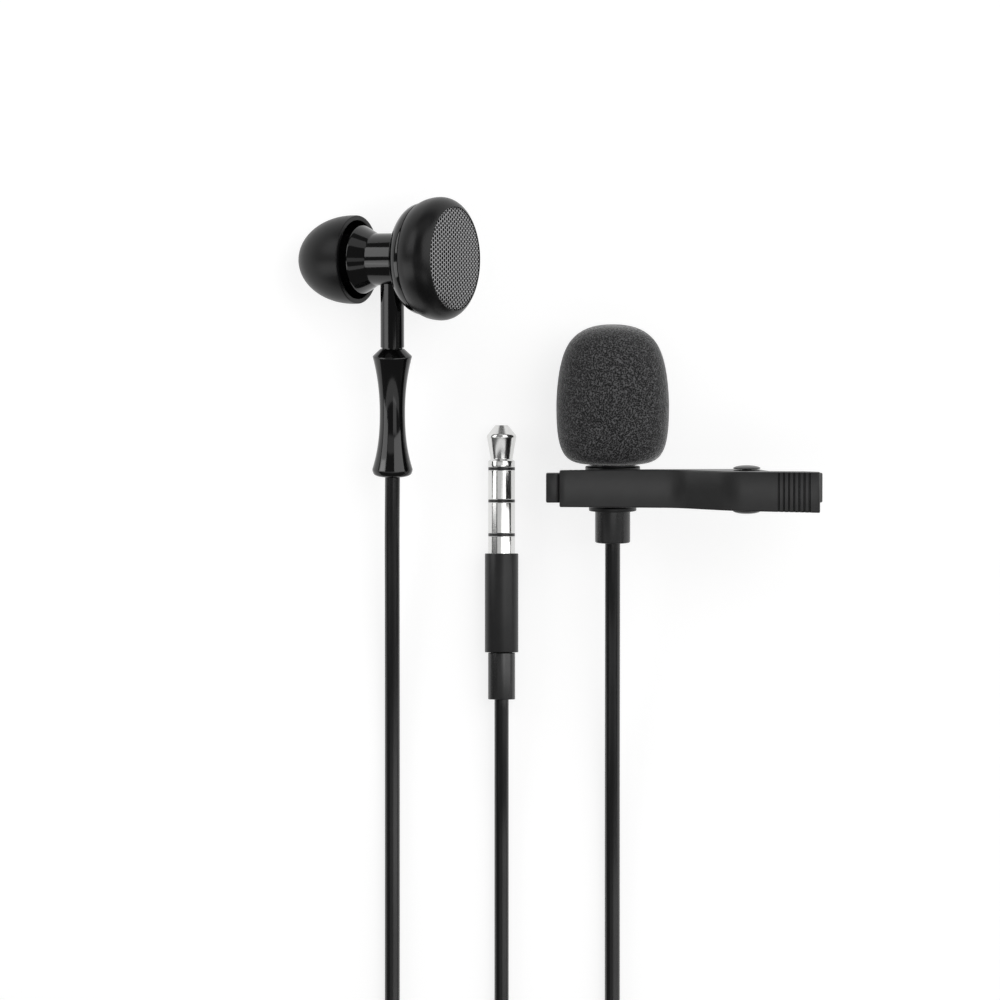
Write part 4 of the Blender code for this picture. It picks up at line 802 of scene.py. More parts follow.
def make_cords():
    """The three cords, each with its coil and tie. The earphone's and the plug's start at the splitter."""
    mic_start = mouth(MIC_AXIS, COLLAR_LOW - SEAT_GAP - MIC_RELIEF_LENGTH, 1.0)
    ear_start = mouth(STEM_AXIS, STEM_END + SEAT_GAP + EAR_RELIEF_LENGTH, -1.0)
    plug_start = mouth(PLUG_AXIS, PLUG_METAL_END + PLUG_HOUSING_LENGTH + SEAT_GAP + PLUG_BOOT_LENGTH, -1.0)
    ports = [mouth(port, 0.0, -1.0) for port in splitter_ports()]
    mic_centre = (mic_start[0].x + MIC_COIL_OUTER, MIC_COIL_Y)
    ear_centre = (ear_start[0].x - EAR_COIL_OUTER, EAR_COIL_Y)
    lead_centre = (plug_start[0].x + LEAD_COIL_OUTER, LEAD_COIL_Y)
    mic_size = (MIC_COIL_OUTER, MIC_COIL_TURNS, BRANCH_LAYERS, BRANCH_DIAMETER)
    ear_size = (EAR_COIL_OUTER, EAR_COIL_TURNS, BRANCH_LAYERS, BRANCH_DIAMETER)
    lead_size = (LEAD_COIL_OUTER, LEAD_COIL_TURNS, LEAD_LAYERS, LEAD_DIAMETER)
    mic_coil = coil_points(mic_centre, math.pi, 1.0, *mic_size)
    ear_coil = coil_points(ear_centre, 0.0, -1.0, *ear_size)
    lead_coil = coil_points(lead_centre, math.pi, 1.0, *lead_size)
    mic_line = cord_line(mic_start, MIC_RUN, mic_coil, MIC_TAIL, ports[0], BRANCH_DIAMETER)
    ear_line = cord_line(ear_start, EAR_RUN, ear_coil, EAR_TAIL, ports[1], BRANCH_DIAMETER)
    lead_line = cord_line(plug_start, PLUG_RUN, lead_coil, LEAD_TAIL, ports[2], LEAD_DIAMETER)
    ties = {
        "mic": tie_band("microphone_tie", mic_centre, 0.0, *mic_size),
        "ear": tie_band("earphone_tie", ear_centre, -math.pi / 2.0, *ear_size),
        "plug": tie_band("lead_tie", lead_centre, 0.0, *lead_size),
    }
    cords = {}
    for key, name, line, diameter in (("mic", "microphone_cord", mic_line, BRANCH_DIAMETER),
                                      ("ear", "earphone_cord", ear_line[::-1], BRANCH_DIAMETER),
                                      ("plug", "plug_lead", lead_line[::-1], LEAD_DIAMETER)):
        piece = tube(name, line, diameter, "cord_black")
        shown(piece, "corded_set", "cord_black", *(key + "_cord_" + part for part in ("run", "coil", "tail")))
        shown(ties[key], "corded_set", "tie_black", key + "_cord_tie")
        cords[key] = (piece, line, diameter)
    return cords, ties


# ---------------------------------------------------------------- microphone

def foam_width(rise, taper, fullness, roundness):
    """Share of the foam's radius at a share of the way from its widest place to its end."""
    return (1.0 - taper * rise ** 2) * max(0.0, 1.0 - rise ** fullness) ** (1.0 / roundness)


def foam_outline():
    """From the bore's ceiling down the bore, round the lip and up the outside to the top."""
    bore = NECK_RADIUS + SLIDING_GAP
    ceiling = HEAD_TOP + SLIDING_GAP
    points = [(0.0, ceiling), (bore, ceiling), (bore, FOAM_LOW)]
    lower = FOAM_WIDEST - FOAM_LOW
    lip = FOAM_RADIUS * foam_width(FOAM_LIP_PLACE, *FOAM_FOOT)
    points += [(bore + (lip - bore) * share, FOAM_LOW) for share in np.linspace(0.1, 0.95, 8)]
    for angle in np.radians(np.linspace(0.0, 90.0, FOAM_RINGS[0], endpoint=False)):
        rise = FOAM_LIP_PLACE * math.cos(angle) ** FOAM_FOOT_PACE
        points.append((FOAM_RADIUS * foam_width(rise, *FOAM_FOOT), FOAM_WIDEST - lower * rise))
    upper = FOAM_TOP - FOAM_WIDEST
    for angle in np.radians(np.linspace(0.0, 90.0, FOAM_RINGS[1])):
        rise = math.sin(angle) ** FOAM_CROWN_PACE
        points.append((FOAM_RADIUS * foam_width(rise, *FOAM_CROWN), FOAM_WIDEST + upper * rise))
    return points


def foam_tree():
    """Presses the open cells into the surface along its normal."""
    sizes = {"Cell": FOAM_CELL, "Pit": FOAM_PIT}
    tree, given, result = geometry_tree("open_cells", sizes)
    place = add(tree, "GeometryNodeInputPosition")
    cells = add(tree, "ShaderNodeTexVoronoi", [("Vector", place.outputs["Position"]),
                                               ("Scale", maths(tree, "DIVIDE", 1.0, given.outputs["Cell"]))])
    depth = maths(tree, "MULTIPLY", cells.outputs["Distance"], given.outputs["Pit"])
    low = maths(tree, "SUBTRACT", depth, given.outputs["Pit"])
    normal = add(tree, "GeometryNodeInputNormal")
    offset = add(tree, "ShaderNodeVectorMath", [(0, normal.outputs["Normal"]), ("Scale", low)],
                 operation="SCALE")
    moved = add(tree, "GeometryNodeSetPosition", [("Geometry", given.outputs["Geometry"]),
                                                  ("Offset", offset.outputs["Vector"])])
    real = add(tree, "GeometryNodeRealizeInstances", [("Geometry", moved.outputs["Geometry"])])
    look = add(tree, "GeometryNodeSetMaterial", [("Geometry", real.outputs["Geometry"]),
                                                 ("Material", finishes["foam"])])
    tree.links.new(look.outputs["Geometry"], result.inputs["Geometry"])
    return tree, sizes


def make_windscreen():
    """Foam ball with its open cells."""
    foam = turned("windscreen", foam_outline(), MIC_AXIS, "foam", FOAM_SEGMENTS)
    tree, sizes = foam_tree()
    shaped_by(foam, tree, sizes, "foam")
    shown(foam, "windscreen", "foam", "windscreen_foam")


def make_microphone():
    """Housing with its ring seat between the collar and the flange, its cap and its relief."""
    rim = HEAD_TOP - CAP_HEIGHT - SEAT_GAP
    cavity = NECK_RADIUS - HEAD_WALL
    body = soften([
        (MIC_BORE, COLLAR_LOW), (COLLAR_RADIUS, COLLAR_LOW), (COLLAR_RADIUS, RING_SEAT_LOW),
        (RING_SEAT_RADIUS, RING_SEAT_LOW), (RING_SEAT_RADIUS, RING_SEAT_HIGH),
        (FLANGE_RADIUS, RING_SEAT_HIGH), (FLANGE_RADIUS, FLANGE_TOP), (NECK_RADIUS, FLANGE_TOP),
        (NECK_RADIUS, rim), (cavity, rim), (cavity, HEAD_FLOOR), (MIC_BORE, HEAD_FLOOR)], EDGE)
    fixed("microphone_body", body, MIC_AXIS, "housing_black", "mic_housing")
    relief_top = COLLAR_LOW - CORD_BORE_GAP
    relief_end = COLLAR_LOW - SEAT_GAP - MIC_RELIEF_LENGTH
    bore = BRANCH_DIAMETER / 2.0 + CORD_BORE_GAP
    relief = soften([(bore, relief_end), (MIC_RELIEF_RADIUS, relief_end),
                     (MIC_RELIEF_RADIUS, COLLAR_LOW)], 2.0 * EDGE)[:-1]
    relief += [(MIC_RELIEF_RADIUS, relief_top), (MIC_BORE - CORD_BORE_GAP, relief_top),
               (MIC_BORE - CORD_BORE_GAP, COLLAR_LOW + INSERT_DEPTH), (bore, COLLAR_LOW + INSERT_DEPTH)]
    fixed("microphone_relief", relief, MIC_AXIS, "relief_black", "mic_strain_relief")
    make_head_cap(cavity - SEAT_GAP)


def make_head_cap(skirt):
    """Cap that plugs into the head, with a ring of sound holes."""
    low = HEAD_TOP - CAP_HEIGHT
    inner = skirt - CAP_WALL
    outline = soften([
        (0.0, HEAD_TOP - CAP_WALL), (inner, HEAD_TOP - CAP_WALL), (inner, low - CAP_WALL),
        (skirt, low - CAP_WALL), (skirt, low), (NECK_RADIUS, low), (NECK_RADIUS, HEAD_TOP), (0.0, HEAD_TOP)],
        2.0 * EDGE)
    cap = turned("microphone_cap", outline, MIC_AXIS, "housing_black")
    for index in range(SOUND_HOLES):
        angle = FULL_TURN * index / SOUND_HOLES
        spot = Vector((SOUND_HOLE_CIRCLE * math.cos(angle), SOUND_HOLE_CIRCLE * math.sin(angle), 0.0))
        hole = [(0.0, low), (SOUND_HOLE_RADIUS, low), (SOUND_HOLE_RADIUS, HEAD_TOP + CAP_WALL),
                (0.0, HEAD_TOP + CAP_WALL)]
        drill = turned("sound_hole", hole, MIC_AXIS @ Matrix.Translation(spot), "housing_black",
                       SOUND_HOLE_ROUND)
        combined(cap, drill, "DIFFERENCE")
    shown(cap, "corded_set", "housing_black", "mic_head_cap")


# ---------------------------------------------------------------- clip

JAW_FACE = BASE_UNDER + BASE_THICKNESS


def grooves(first, pitch, count, width, level, depth):
    """Points of V grooves cut to one side of a level line, in order along x."""
    points = []
    for index in range(count):
        middle = first + pitch * index
        points += [(middle - width / 2.0, level), (middle, level + depth), (middle + width / 2.0, level)]
    return points


def thumb_line(x):
    """Height of the thumb lever's upper face before its corners are rounded."""
    jaw = JAW_FACE + JAW_GAP + JAW_THICKNESS
    rise = RAMP_RISE * min(1.0, max(0.0, (x - RAMP_START) / (RAMP_END - RAMP_START)))
    return jaw + rise + PAD_RISE * max(0.0, (x - RAMP_END) / (THUMB_END - RAMP_END))


def thumb_top(x):
    """The same with its corners rounded."""
    steps = np.linspace(-RAMP_SOFTNESS, RAMP_SOFTNESS, 13)
    return float(np.mean([thumb_line(x + step) for step in steps]))


def lever_section(x, top, under, half, edge, inner, ceiling):
    """Ring of points round a lever at x: rounded above, with a channel below where the ceiling is higher."""
    right = [(half - edge, top)]
    right += [(half - edge + edge * math.sin(a), top - edge + edge * math.cos(a))
              for a in np.radians((30, 60, 90))]
    right += [(half, under + edge / 2.0), (half - edge / 2.0, under), (inner, under), (inner, ceiling)]
    ring = right + [(-z, y) for z, y in reversed(right)]
    return [(x, y, z) for z, y in ring]


def lever(name, upper, lower, half_width, channel, place, look):
    """A lever between an upper and a lower line, hollow below within the channel's stretch of x."""
    start, stop = upper[0][0], upper[-1][0]
    marks = {x for x, _ in upper} | {x for x, _ in lower}
    marks |= {start + LEVER_EDGE * share for share in LEVER_EDGE_STEPS}
    marks |= {stop - LEVER_EDGE * share for share in LEVER_EDGE_STEPS}
    if channel:
        marks |= {channel[0], channel[0] + 1e-6, channel[1] - 1e-6, channel[1]}
    up_x, up_y = zip(*upper)
    low_x, low_y = zip(*lower)
    sections = []
    for x in sorted(marks):
        top, under = np.interp(x, up_x, up_y), np.interp(x, low_x, low_y)
        away = min(x - start, stop - x)
        trim = LEVER_EDGE * (1.0 - math.sqrt(max(0.0, 1.0 - (1.0 - min(1.0, away / LEVER_EDGE)) ** 2)))
        half = half_width(x) - trim
        hollow = channel and channel[0] < x < channel[1]
        inner = BASE_WIDTH / 2.0 + RUNNING_GAP if channel else half / 2.0
        foot = under + trim
        ceiling = max(foot, thumb_top(x) - LEVER_SKIN) if hollow else foot
        sections.append(lever_section(x, top - trim, foot, half, LEVER_EDGE, inner, ceiling))
    return lofted(name, sections, place, look, LEVER_CREASE)


def thumb_half_width(x):
    """Half the near lever's width, which grows evenly from its jaw to its pad."""
    share = (x - THUMB_TIP) / (THUMB_END - THUMB_TIP)
    return (THUMB_TIP_WIDTH + (THUMB_END_WIDTH - THUMB_TIP_WIDTH) * share) / 2.0


def make_thumb_lever():
    """Near lever with its ramp, its ribbed pad, the cheeks at the pin and the jaw's teeth."""
    low = JAW_FACE + JAW_GAP
    ramp_places = np.linspace(RAMP_START - RAMP_SOFTNESS, RAMP_END + RAMP_SOFTNESS, 40)
    plain = [(x, thumb_top(x)) for x in ramp_places]
    ribs = []
    for index in range(RIB_GROOVES):
        middle = RIB_START + RIB_PITCH * index
        for across, depth in RIB_PROFILE:
            spot = middle + across * RIB_WIDTH
            ribs.append((spot, thumb_top(spot) - depth * RIB_DEPTH))
    upper = [(THUMB_TIP, thumb_top(THUMB_TIP))] + plain + ribs + [(THUMB_END, thumb_line(THUMB_END))]
    teeth = grooves(THUMB_TIP + 1.5 * TOOTH_PITCH, TOOTH_PITCH, TEETH, TOOTH_WIDTH, low, TOOTH_DEPTH)
    lobe = arc((PIN_X, PIN_HEIGHT), (CHEEK_RADIUS, CHEEK_RADIUS), *CHEEK_ARC, 16)
    pad_start = PIN_X + CHEEK_REACH
    wall_end = THUMB_END - PAD_WALL_DEPTH
    lower = [(THUMB_TIP, low)] + teeth + [(RAMP_START + EDGE, low)] + lobe
    lower += [(x, thumb_top(x) - PAD_WALL_DEPTH) for x in (pad_start, wall_end)]
    lower += [(THUMB_END, thumb_line(THUMB_END) - LEVER_SKIN)]
    channel = (RAMP_START + LEVER_SKIN, THUMB_END - LEVER_SKIN)
    thumb = lever("clip_lever_near", upper, lower, thumb_half_width, channel, CLIP_AXIS, "clip_black")
    shown(thumb, "clip_lever", "clip_black", "clip_thumb_lever")


def make_base_lever():
    """Far lever with its teeth, its ribs and the two lugs that hold the pin."""
    upper = [(BASE_TIP, JAW_FACE)]
    upper += grooves(THUMB_TIP + TOOTH_PITCH, TOOTH_PITCH, TEETH, TOOTH_WIDTH, JAW_FACE, -TOOTH_DEPTH)
    upper += [(BASE_END - LEVER_CHAMFER, JAW_FACE), (BASE_END, JAW_FACE - LEVER_CHAMFER)]
    lower = [(BASE_TIP, BASE_UNDER)]
    lower += grooves(RIB_START, RIB_PITCH, RIB_GROOVES, RIB_WIDTH, BASE_UNDER, RIB_DEPTH)
    lower += [(BASE_END, BASE_UNDER)]
    base = lever("clip_lever_far", upper, lower, lambda x: BASE_WIDTH / 2.0, None, CLIP_AXIS, "clip_black")
    foot = (JAW_FACE + BASE_UNDER) / 2.0
    outline = [(PIN_X + CHEEK_RADIUS, foot)]
    outline += arc((PIN_X, PIN_HEIGHT), (CHEEK_RADIUS, CHEEK_RADIUS), 0.0, 180.0, 32)
    outline += [(PIN_X - CHEEK_RADIUS, foot)]
    for side in (-1.0, 1.0):
        middle = Vector((0.0, 0.0, side * (BASE_WIDTH / 2.0 - CHEEK_WALL / 2.0 - EDGE)))
        lug = plate("lug", outline, CHEEK_WALL / 2.0, CLIP_AXIS @ Matrix.Translation(middle), "clip_black")
        combined(base, lug, "UNION")
    shown(base, "clip_base", "clip_black", "clip_base_lever")


def make_pin():
    """Hinge pin with a domed head on each side."""
    inner = thumb_half_width(PIN_X + PIN_HEAD_RADIUS) + RUNNING_GAP
    dome = arc((0.0, inner), (PIN_HEAD_RADIUS, PIN_HEAD_HEIGHT), 0.0, 90.0, 12)
    half = [(PIN_RADIUS, 0.0), (PIN_RADIUS, inner), (PIN_HEAD_RADIUS - EDGE / 2.0, inner)]
    half += dome[1:-1] + [(0.0, dome[-1][1])]
    outline = [(radius, -height) for radius, height in reversed(half)] + half[1:]
    place = CLIP_AXIS @ Matrix.Translation((PIN_X, PIN_HEIGHT, 0.0))
    pin = turned("clip_pin", outline, place, "clip_black", SMALL_ROUND)
    shown(pin, "clip_base", "clip_black", "clip_hinge_pin")


def make_holder_ring():
    """Ring round the microphone's seat, with the boss that carries the far lever."""
    inner = RING_SEAT_RADIUS + RUNNING_GAP
    outer = inner + RING_WALL
    half = RING_LENGTH / 2.0
    outline = soften([(inner, -half), (outer, -half), (outer, half), (inner, half), (inner, -half)], EDGE)
    ring = turned("clip_ring", outline[:-1], CLIP_AXIS, "clip_black")
    boss = rounded_block("boss", (-RING_BOSS_LENGTH / 2.0, inner + RING_WALL / 4.0, -BASE_WIDTH / 2.0 + EDGE),
                         (RING_BOSS_LENGTH / 2.0, BASE_UNDER - SEAT_GAP / 2.0, BASE_WIDTH / 2.0 - EDGE),
                         CLIP_AXIS, "clip_black", EDGE, 2)
    combined(ring, boss, "UNION")
    shown(ring, "clip_base", "clip_black", "clip_holder_ring")


def make_spring():
    """Torsion spring round the pin, one leg on the far lever and one under the pad."""
    width = SPRING_PITCH * abs(SPRING_SWEEP) / FULL_TURN
    curls = []
    for share in np.linspace(0.0, 1.0, SPRING_STEPS):
        angle = SPRING_START + SPRING_SWEEP * share
        curls.append(Vector((SPRING_RADIUS * math.cos(angle), SPRING_RADIUS * math.sin(angle),
                             width * (share - 0.5))))
    first = Vector((-math.sin(SPRING_START), math.cos(SPRING_START), 0.0))
    last_angle = SPRING_START + SPRING_SWEEP
    last = Vector((math.sin(last_angle), -math.cos(last_angle), 0.0))
    legs = [SPRING_LEG * share for share in np.linspace(1.0, 0.1, 10)]
    points = [curls[0] + first * length for length in legs] + curls
    points += [curls[-1] + last * length for length in reversed(legs)]
    place = CLIP_AXIS @ Matrix.Translation((PIN_X, PIN_HEIGHT, 0.0))
    wire = tube("spring_wire", [place @ point for point in points], SPRING_WIRE, "spring_steel")
    spring = bpy.data.objects.new("clip_coil_spring", plain_mesh(wire))
    bpy.context.scene.collection.objects.link(spring)
    bpy.data.objects.remove(wire, do_unlink=True)
    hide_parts("clip_spring")
    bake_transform(spring)


# ---------------------------------------------------------------- earphone

def make_ear_shells():
    """Rounded bezel and the shell behind it; gives back where the shell's mouth ends."""
    lip_angle = math.degrees(math.acos((BEZEL_LIP - BEZEL_CORE) / BEZEL_RADIUS))
    front = arc((BEZEL_CORE, 0.0), (BEZEL_RADIUS, BEZEL_RADIUS), lip_angle, 0.0, 20)
    foot = math.degrees(math.asin(BEZEL_FOOT / BEZEL_BACK))
    back = arc((BEZEL_CORE, 0.0), (BEZEL_RADIUS, BEZEL_BACK), 0.0, foot, 12)
    lip_foot = front[0][1] - BEZEL_LIP_DEPTH
    groove = [(GRILLE_RADIUS, BEZEL_FOOT), (GRILLE_RADIUS, GRILLE_LOW), (MESH_RADIUS, GRILLE_LOW),
              (MESH_RADIUS, lip_foot), (BEZEL_LIP, lip_foot)]
    outline = groove + front + back[1:]
    bezel = turned("earphone_bezel", soften(outline, EDGE), EAR_AXIS, "bezel_black")
    shown(bezel, "corded_set", "gloss_black", "ear_bezel")
    shell_front = BEZEL_FOOT - SEAT_GAP / 2.0
    neck_angle = math.degrees(math.acos((SHELL_MOUTH + SHELL_MOUTH_LIP) / SHELL_RADIUS))
    outer = arc((0.0, shell_front), (SHELL_RADIUS, -SHELL_DEPTH), 0.0, neck_angle, 28)
    inner_radius = SHELL_RADIUS - SHELL_WALL
    mouth_angle = math.degrees(math.acos(SHELL_MOUTH / inner_radius))
    inner = arc((0.0, shell_front), (inner_radius, SHELL_WALL - SHELL_DEPTH), mouth_angle, 0.0, 12)
    shell_mouth = outer[-1][1]
    fixed("earphone_shell", outer + [(SHELL_MOUTH, shell_mouth)] + inner, EAR_AXIS, "gloss_black",
          "ear_body_shell")
    return shell_mouth


def hex_cell(pitch, hole):
    """One cell of a perforated sheet: a hexagon with a round hole, its flats facing the next cells."""
    builder = bmesh.new()
    side = pitch / 2.0
    rim, edge = [], []
    for index in range(MESH_HOLE_SIDES):
        angle = FULL_TURN * index / MESH_HOLE_SIDES
        reach = side / math.cos((angle + math.pi / 6.0) % (math.pi / 3.0) - math.pi / 6.0)
        rim.append(builder.verts.new((reach * math.cos(angle), reach * math.sin(angle), 0.0)))
        edge.append(builder.verts.new((hole * math.cos(angle), hole * math.sin(angle), 0.0)))
    skin(builder, [rim, edge])
    return piece_from("mesh_cell", builder, "mesh_steel")


def sheet_tree(name, cell, sizes):
    """Repeats the cell over the given points of a grid, which lie in a disc, domes it and gives it a thickness."""
    tree, given, result = geometry_tree(name, sizes)
    points = add(tree, "GeometryNodeMeshToPoints", [("Mesh", given.outputs["Geometry"])])
    source = add(tree, "GeometryNodeObjectInfo", [("Object", cell)])
    cells = add(tree, "GeometryNodeInstanceOnPoints", [("Points", points.outputs["Points"]),
                                                       ("Instance", source.outputs["Geometry"])])
    real = add(tree, "GeometryNodeRealizeInstances", [("Geometry", cells.outputs["Instances"])])
    sheet = add(tree, "GeometryNodeMergeByDistance", [("Geometry", real.outputs["Geometry"]),
                                                      ("Distance", SHEET_WELD)])
    place = add(tree, "GeometryNodeInputPosition").outputs["Position"]
    reach = add(tree, "ShaderNodeVectorMath", [(0, place)], operation="LENGTH").outputs["Value"]
    square = maths(tree, "POWER", maths(tree, "DIVIDE", reach, given.outputs["Radius"]), 2.0)
    fall = maths(tree, "MULTIPLY", square, given.outputs["Dome"])
    offset = add(tree, "ShaderNodeCombineXYZ", [("Z", maths(tree, "MULTIPLY", fall, -1.0))])
    domed = add(tree, "GeometryNodeSetPosition", [("Geometry", sheet.outputs["Geometry"]),
                                                  ("Offset", offset.outputs["Vector"])])
    walls = add(tree, "GeometryNodeExtrudeMesh", [("Mesh", domed.outputs["Geometry"]), ("Individual", False),
                                                  ("Offset Scale", given.outputs["Thickness"])], mode="FACES")
    turned_over = add(tree, "GeometryNodeFlipFaces", [("Mesh", domed.outputs["Geometry"])])
    both = add(tree, "GeometryNodeJoinGeometry")
    tree.links.new(walls.outputs["Mesh"], both.inputs["Geometry"])
    tree.links.new(turned_over.outputs["Mesh"], both.inputs["Geometry"])
    closed = add(tree, "GeometryNodeMergeByDistance", [("Geometry", both.outputs["Geometry"]),
                                                       ("Distance", SHEET_WELD)])
    ready = add(tree, "GeometryNodeRealizeInstances", [("Geometry", closed.outputs["Geometry"])])
    look = add(tree, "GeometryNodeSetMaterial", [("Geometry", ready.outputs["Geometry"]),
                                                 ("Material", finishes["mesh_steel"])])
    tree.links.new(look.outputs["Geometry"], result.inputs["Geometry"])
    return tree


def perforated_disc(name, radius, pitch, hole, dome, height, place):
    """Perforated steel disc in a frame's XY plane, holes in staggered columns along its Y."""
    cell = hex_cell(pitch, hole)
    column = pitch * math.sqrt(3.0) / 2.0
    reach = math.ceil(radius / column) + 1
    builder = bmesh.new()
    for across in range(-reach, reach + 1):
        for along in range(-reach, reach + 1):
            spot = Vector((across * column, (along + 0.5 * (across % 2)) * pitch, 0.0))
            if spot.length < radius - pitch / 2.0:
                builder.verts.new(spot)
    points = piece_from(name, builder, "mesh_steel")
    for vertex in cell.data.vertices:
        vertex.co = Matrix.Rotation(math.pi / 2.0, 3, "Z") @ vertex.co
    sizes = {"Radius": radius, "Dome": dome, "Thickness": MESH_SHEET}
    disc = shaped_by(points, sheet_tree(name + "_sheet", cell, sizes), sizes, "mesh_steel")
    bpy.data.objects.remove(cell, do_unlink=True)
    disc.data.transform(place @ Matrix.Translation((0.0, 0.0, height)))
    disc.data.shade_smooth()
    disc.data.set_sharp_from_angle(angle=math.radians(CREASE))
    return disc


def make_ear_mesh():
    """Domed mesh in the bezel, the cloth behind it and the gauze in the nozzle."""
    disc = perforated_disc("earphone_mesh", MESH_RADIUS - EDGE / 3.0, MESH_PITCH, MESH_HOLE, GRILLE_DOME,
                           MESH_EDGE + GRILLE_DOME, EAR_AXIS)
    shown(disc, "corded_set", "mesh_steel", "ear_grille")
    radius = GRILLE_RADIUS - SEAT_GAP / 4.0
    cloth_edge = MESH_EDGE - MESH_SHEET
    cloth = [(0.0, GRILLE_LOW), (radius, GRILLE_LOW)]
    cloth += [(radius * share, cloth_edge + GRILLE_DOME * (1.0 - share ** 2))
              for share in (1.0, 0.75, 0.5, 0.25, 0.0)]
    backing = turned("earphone_cloth", cloth, EAR_AXIS, "cloth", SMALL_ROUND)
    shown(backing, "corded_set", "gloss_black")
    nozzle_top = NOZZLE_END - SEAT_GAP / 2.0 - MESH_SHEET
    gauze = perforated_disc("nozzle_gauze", NOZZLE_RADIUS - EDGE, NOZZLE_MESH_PITCH, NOZZLE_MESH_HOLE, 0.0,
                            nozzle_top, EAR_AXIS)
    shown(gauze, "corded_set", "mesh_steel", "ear_nozzle_mesh")


def make_ear_neck(shell_mouth):
    """Neck with its flange, and the barbed nozzle that the tip goes on."""
    shoulder = shell_mouth - SEAT_GAP / 2.0
    spigot = SHELL_MOUTH - SEAT_GAP
    flange_face = EAR_FLANGE_PLACE - EAR_FLANGE_EDGE
    barb = NOZZLE_RADIUS + BARB_HEIGHT
    outline = soften([
        (NOZZLE_BORE, shoulder + INSERT_DEPTH), (spigot, shoulder + INSERT_DEPTH), (spigot, shoulder),
        (NECK_TUBE_RADIUS, shoulder), (NECK_TUBE_RADIUS, NECK_TUBE_END),
        (EAR_FLANGE_RADIUS, EAR_FLANGE_PLACE), (EAR_FLANGE_RADIUS, flange_face),
        (NOZZLE_RADIUS, flange_face), (NOZZLE_RADIUS, BARB_PLACE),
        (barb, BARB_PLACE - BARB_HEIGHT), (barb, BARB_PLACE - 2.0 * BARB_HEIGHT),
        (NOZZLE_RADIUS, BARB_PLACE - 4.0 * BARB_HEIGHT), (NOZZLE_RADIUS, NOZZLE_END),
        (NOZZLE_BORE, NOZZLE_END)], EDGE)
    fixed("earphone_neck", outline, EAR_AXIS, "gloss_black", "ear_neck")


def make_ear_tip():
    """Silicone tip: a thin dome turned back over the tube that grips the nozzle."""
    def dome(length, radius, start, end, steps):
        return [(radius * math.sin(angle), TIP_CENTRE - length * math.cos(angle))
                for angle in np.radians(np.linspace(start, end, steps + 1))]
    nose = math.degrees(math.asin(TIP_SOUND_HOLE / TIP_RADIUS))
    rim = math.degrees(math.acos((TIP_CENTRE - TIP_RIM) / TIP_LENGTH))
    tube_bore = NOZZLE_RADIUS + BARB_HEIGHT + SEAT_GAP
    tube_wall = tube_bore + TIP_WALL
    inner_radius = TIP_RADIUS - TIP_WALL
    inner_length = TIP_LENGTH - TIP_WALL
    crown = math.degrees(math.asin(tube_wall / inner_radius))
    inner_rim = math.degrees(math.acos((TIP_CENTRE - TIP_RIM) / inner_length))
    tube_end = EAR_FLANGE_PLACE - EAR_FLANGE_EDGE - SLIDING_GAP
    outline = dome(TIP_LENGTH, TIP_RADIUS, nose, rim, 48)
    outline += dome(inner_length, inner_radius, inner_rim, crown, 28)
    outline += [(tube_wall, tube_end), (tube_bore, tube_end), (tube_bore, TIP_SEAT),
                (TIP_SOUND_HOLE, TIP_SEAT)]
    tip = turned("earphone_tip", soften(outline, EDGE * 1.5), EAR_AXIS, "silicone")
    shown(tip, "ear_tip_body", "silicone", "ear_tip")


def make_stem():
    """Stem, cut to fit round the neck, and the strain relief on its end."""
    spigot = STEM_RADIUS - 2.0 * SEAT_GAP
    stem_tip = STEM_END + INSERT_DEPTH
    outline = [(0.0, 0.0), (STEM_RADIUS, 0.0), (STEM_RADIUS, STEM_END), (spigot, STEM_END),
               (spigot, stem_tip), (0.0, stem_tip)]
    stem = turned("earphone_stem", outline, STEM_AXIS, "gloss_black")
    saddle = NECK_TUBE_RADIUS + SEAT_GAP / 4.0
    low, high = STEM_PLACE - saddle, STEM_PLACE + saddle
    cutter = turned("saddle", [(0.0, low), (saddle, low), (saddle, high), (0.0, high)], EAR_AXIS,
                    "gloss_black")
    combined(stem, cutter, "DIFFERENCE")
    shown(stem, "corded_set", "gloss_black", "ear_stem")
    make_ear_relief(spigot + SEAT_GAP, stem_tip + SEAT_GAP)


def make_ear_relief(socket, socket_end):
    """Sleeve that narrows to a waist and swells to its rounded end."""
    top = STEM_END + SEAT_GAP
    shoulder, waist = top + EAR_RELIEF_SHOULDER, top + EAR_RELIEF_WAIST
    bulb, end = top + EAR_RELIEF_BULB, top + EAR_RELIEF_LENGTH
    narrowing = EAR_RELIEF_TOP_RADIUS - EAR_RELIEF_WAIST_RADIUS
    widening = EAR_RELIEF_END_RADIUS - EAR_RELIEF_WAIST_RADIUS
    flare = [(EAR_RELIEF_WAIST_RADIUS + narrowing * (1.0 - share) ** EAR_RELIEF_FLARE,
              shoulder + (waist - shoulder) * share) for share in np.linspace(0.0, 1.0, 30)]
    swell = [(EAR_RELIEF_WAIST_RADIUS + widening * share ** EAR_RELIEF_SWELL,
              waist + (bulb - waist) * share) for share in np.linspace(0.04, 1.0, 30)]
    bore = BRANCH_DIAMETER / 2.0 + CORD_BORE_GAP
    cap = [(EAR_RELIEF_END_RADIUS * share, bulb + (end - bulb) * rise) for share, rise in EAR_RELIEF_CAP]
    outline = [(bore, socket_end), (socket, socket_end), (socket, top), (STEM_RADIUS, top)]
    outline = soften(outline + flare + swell + cap + [(bore, end)], EDGE)
    shown(turned("earphone_relief", outline, STEM_AXIS, "gloss_black"), "corded_set", "relief_black",
          "ear_strain_relief")


# ---------------------------------------------------------------- plug

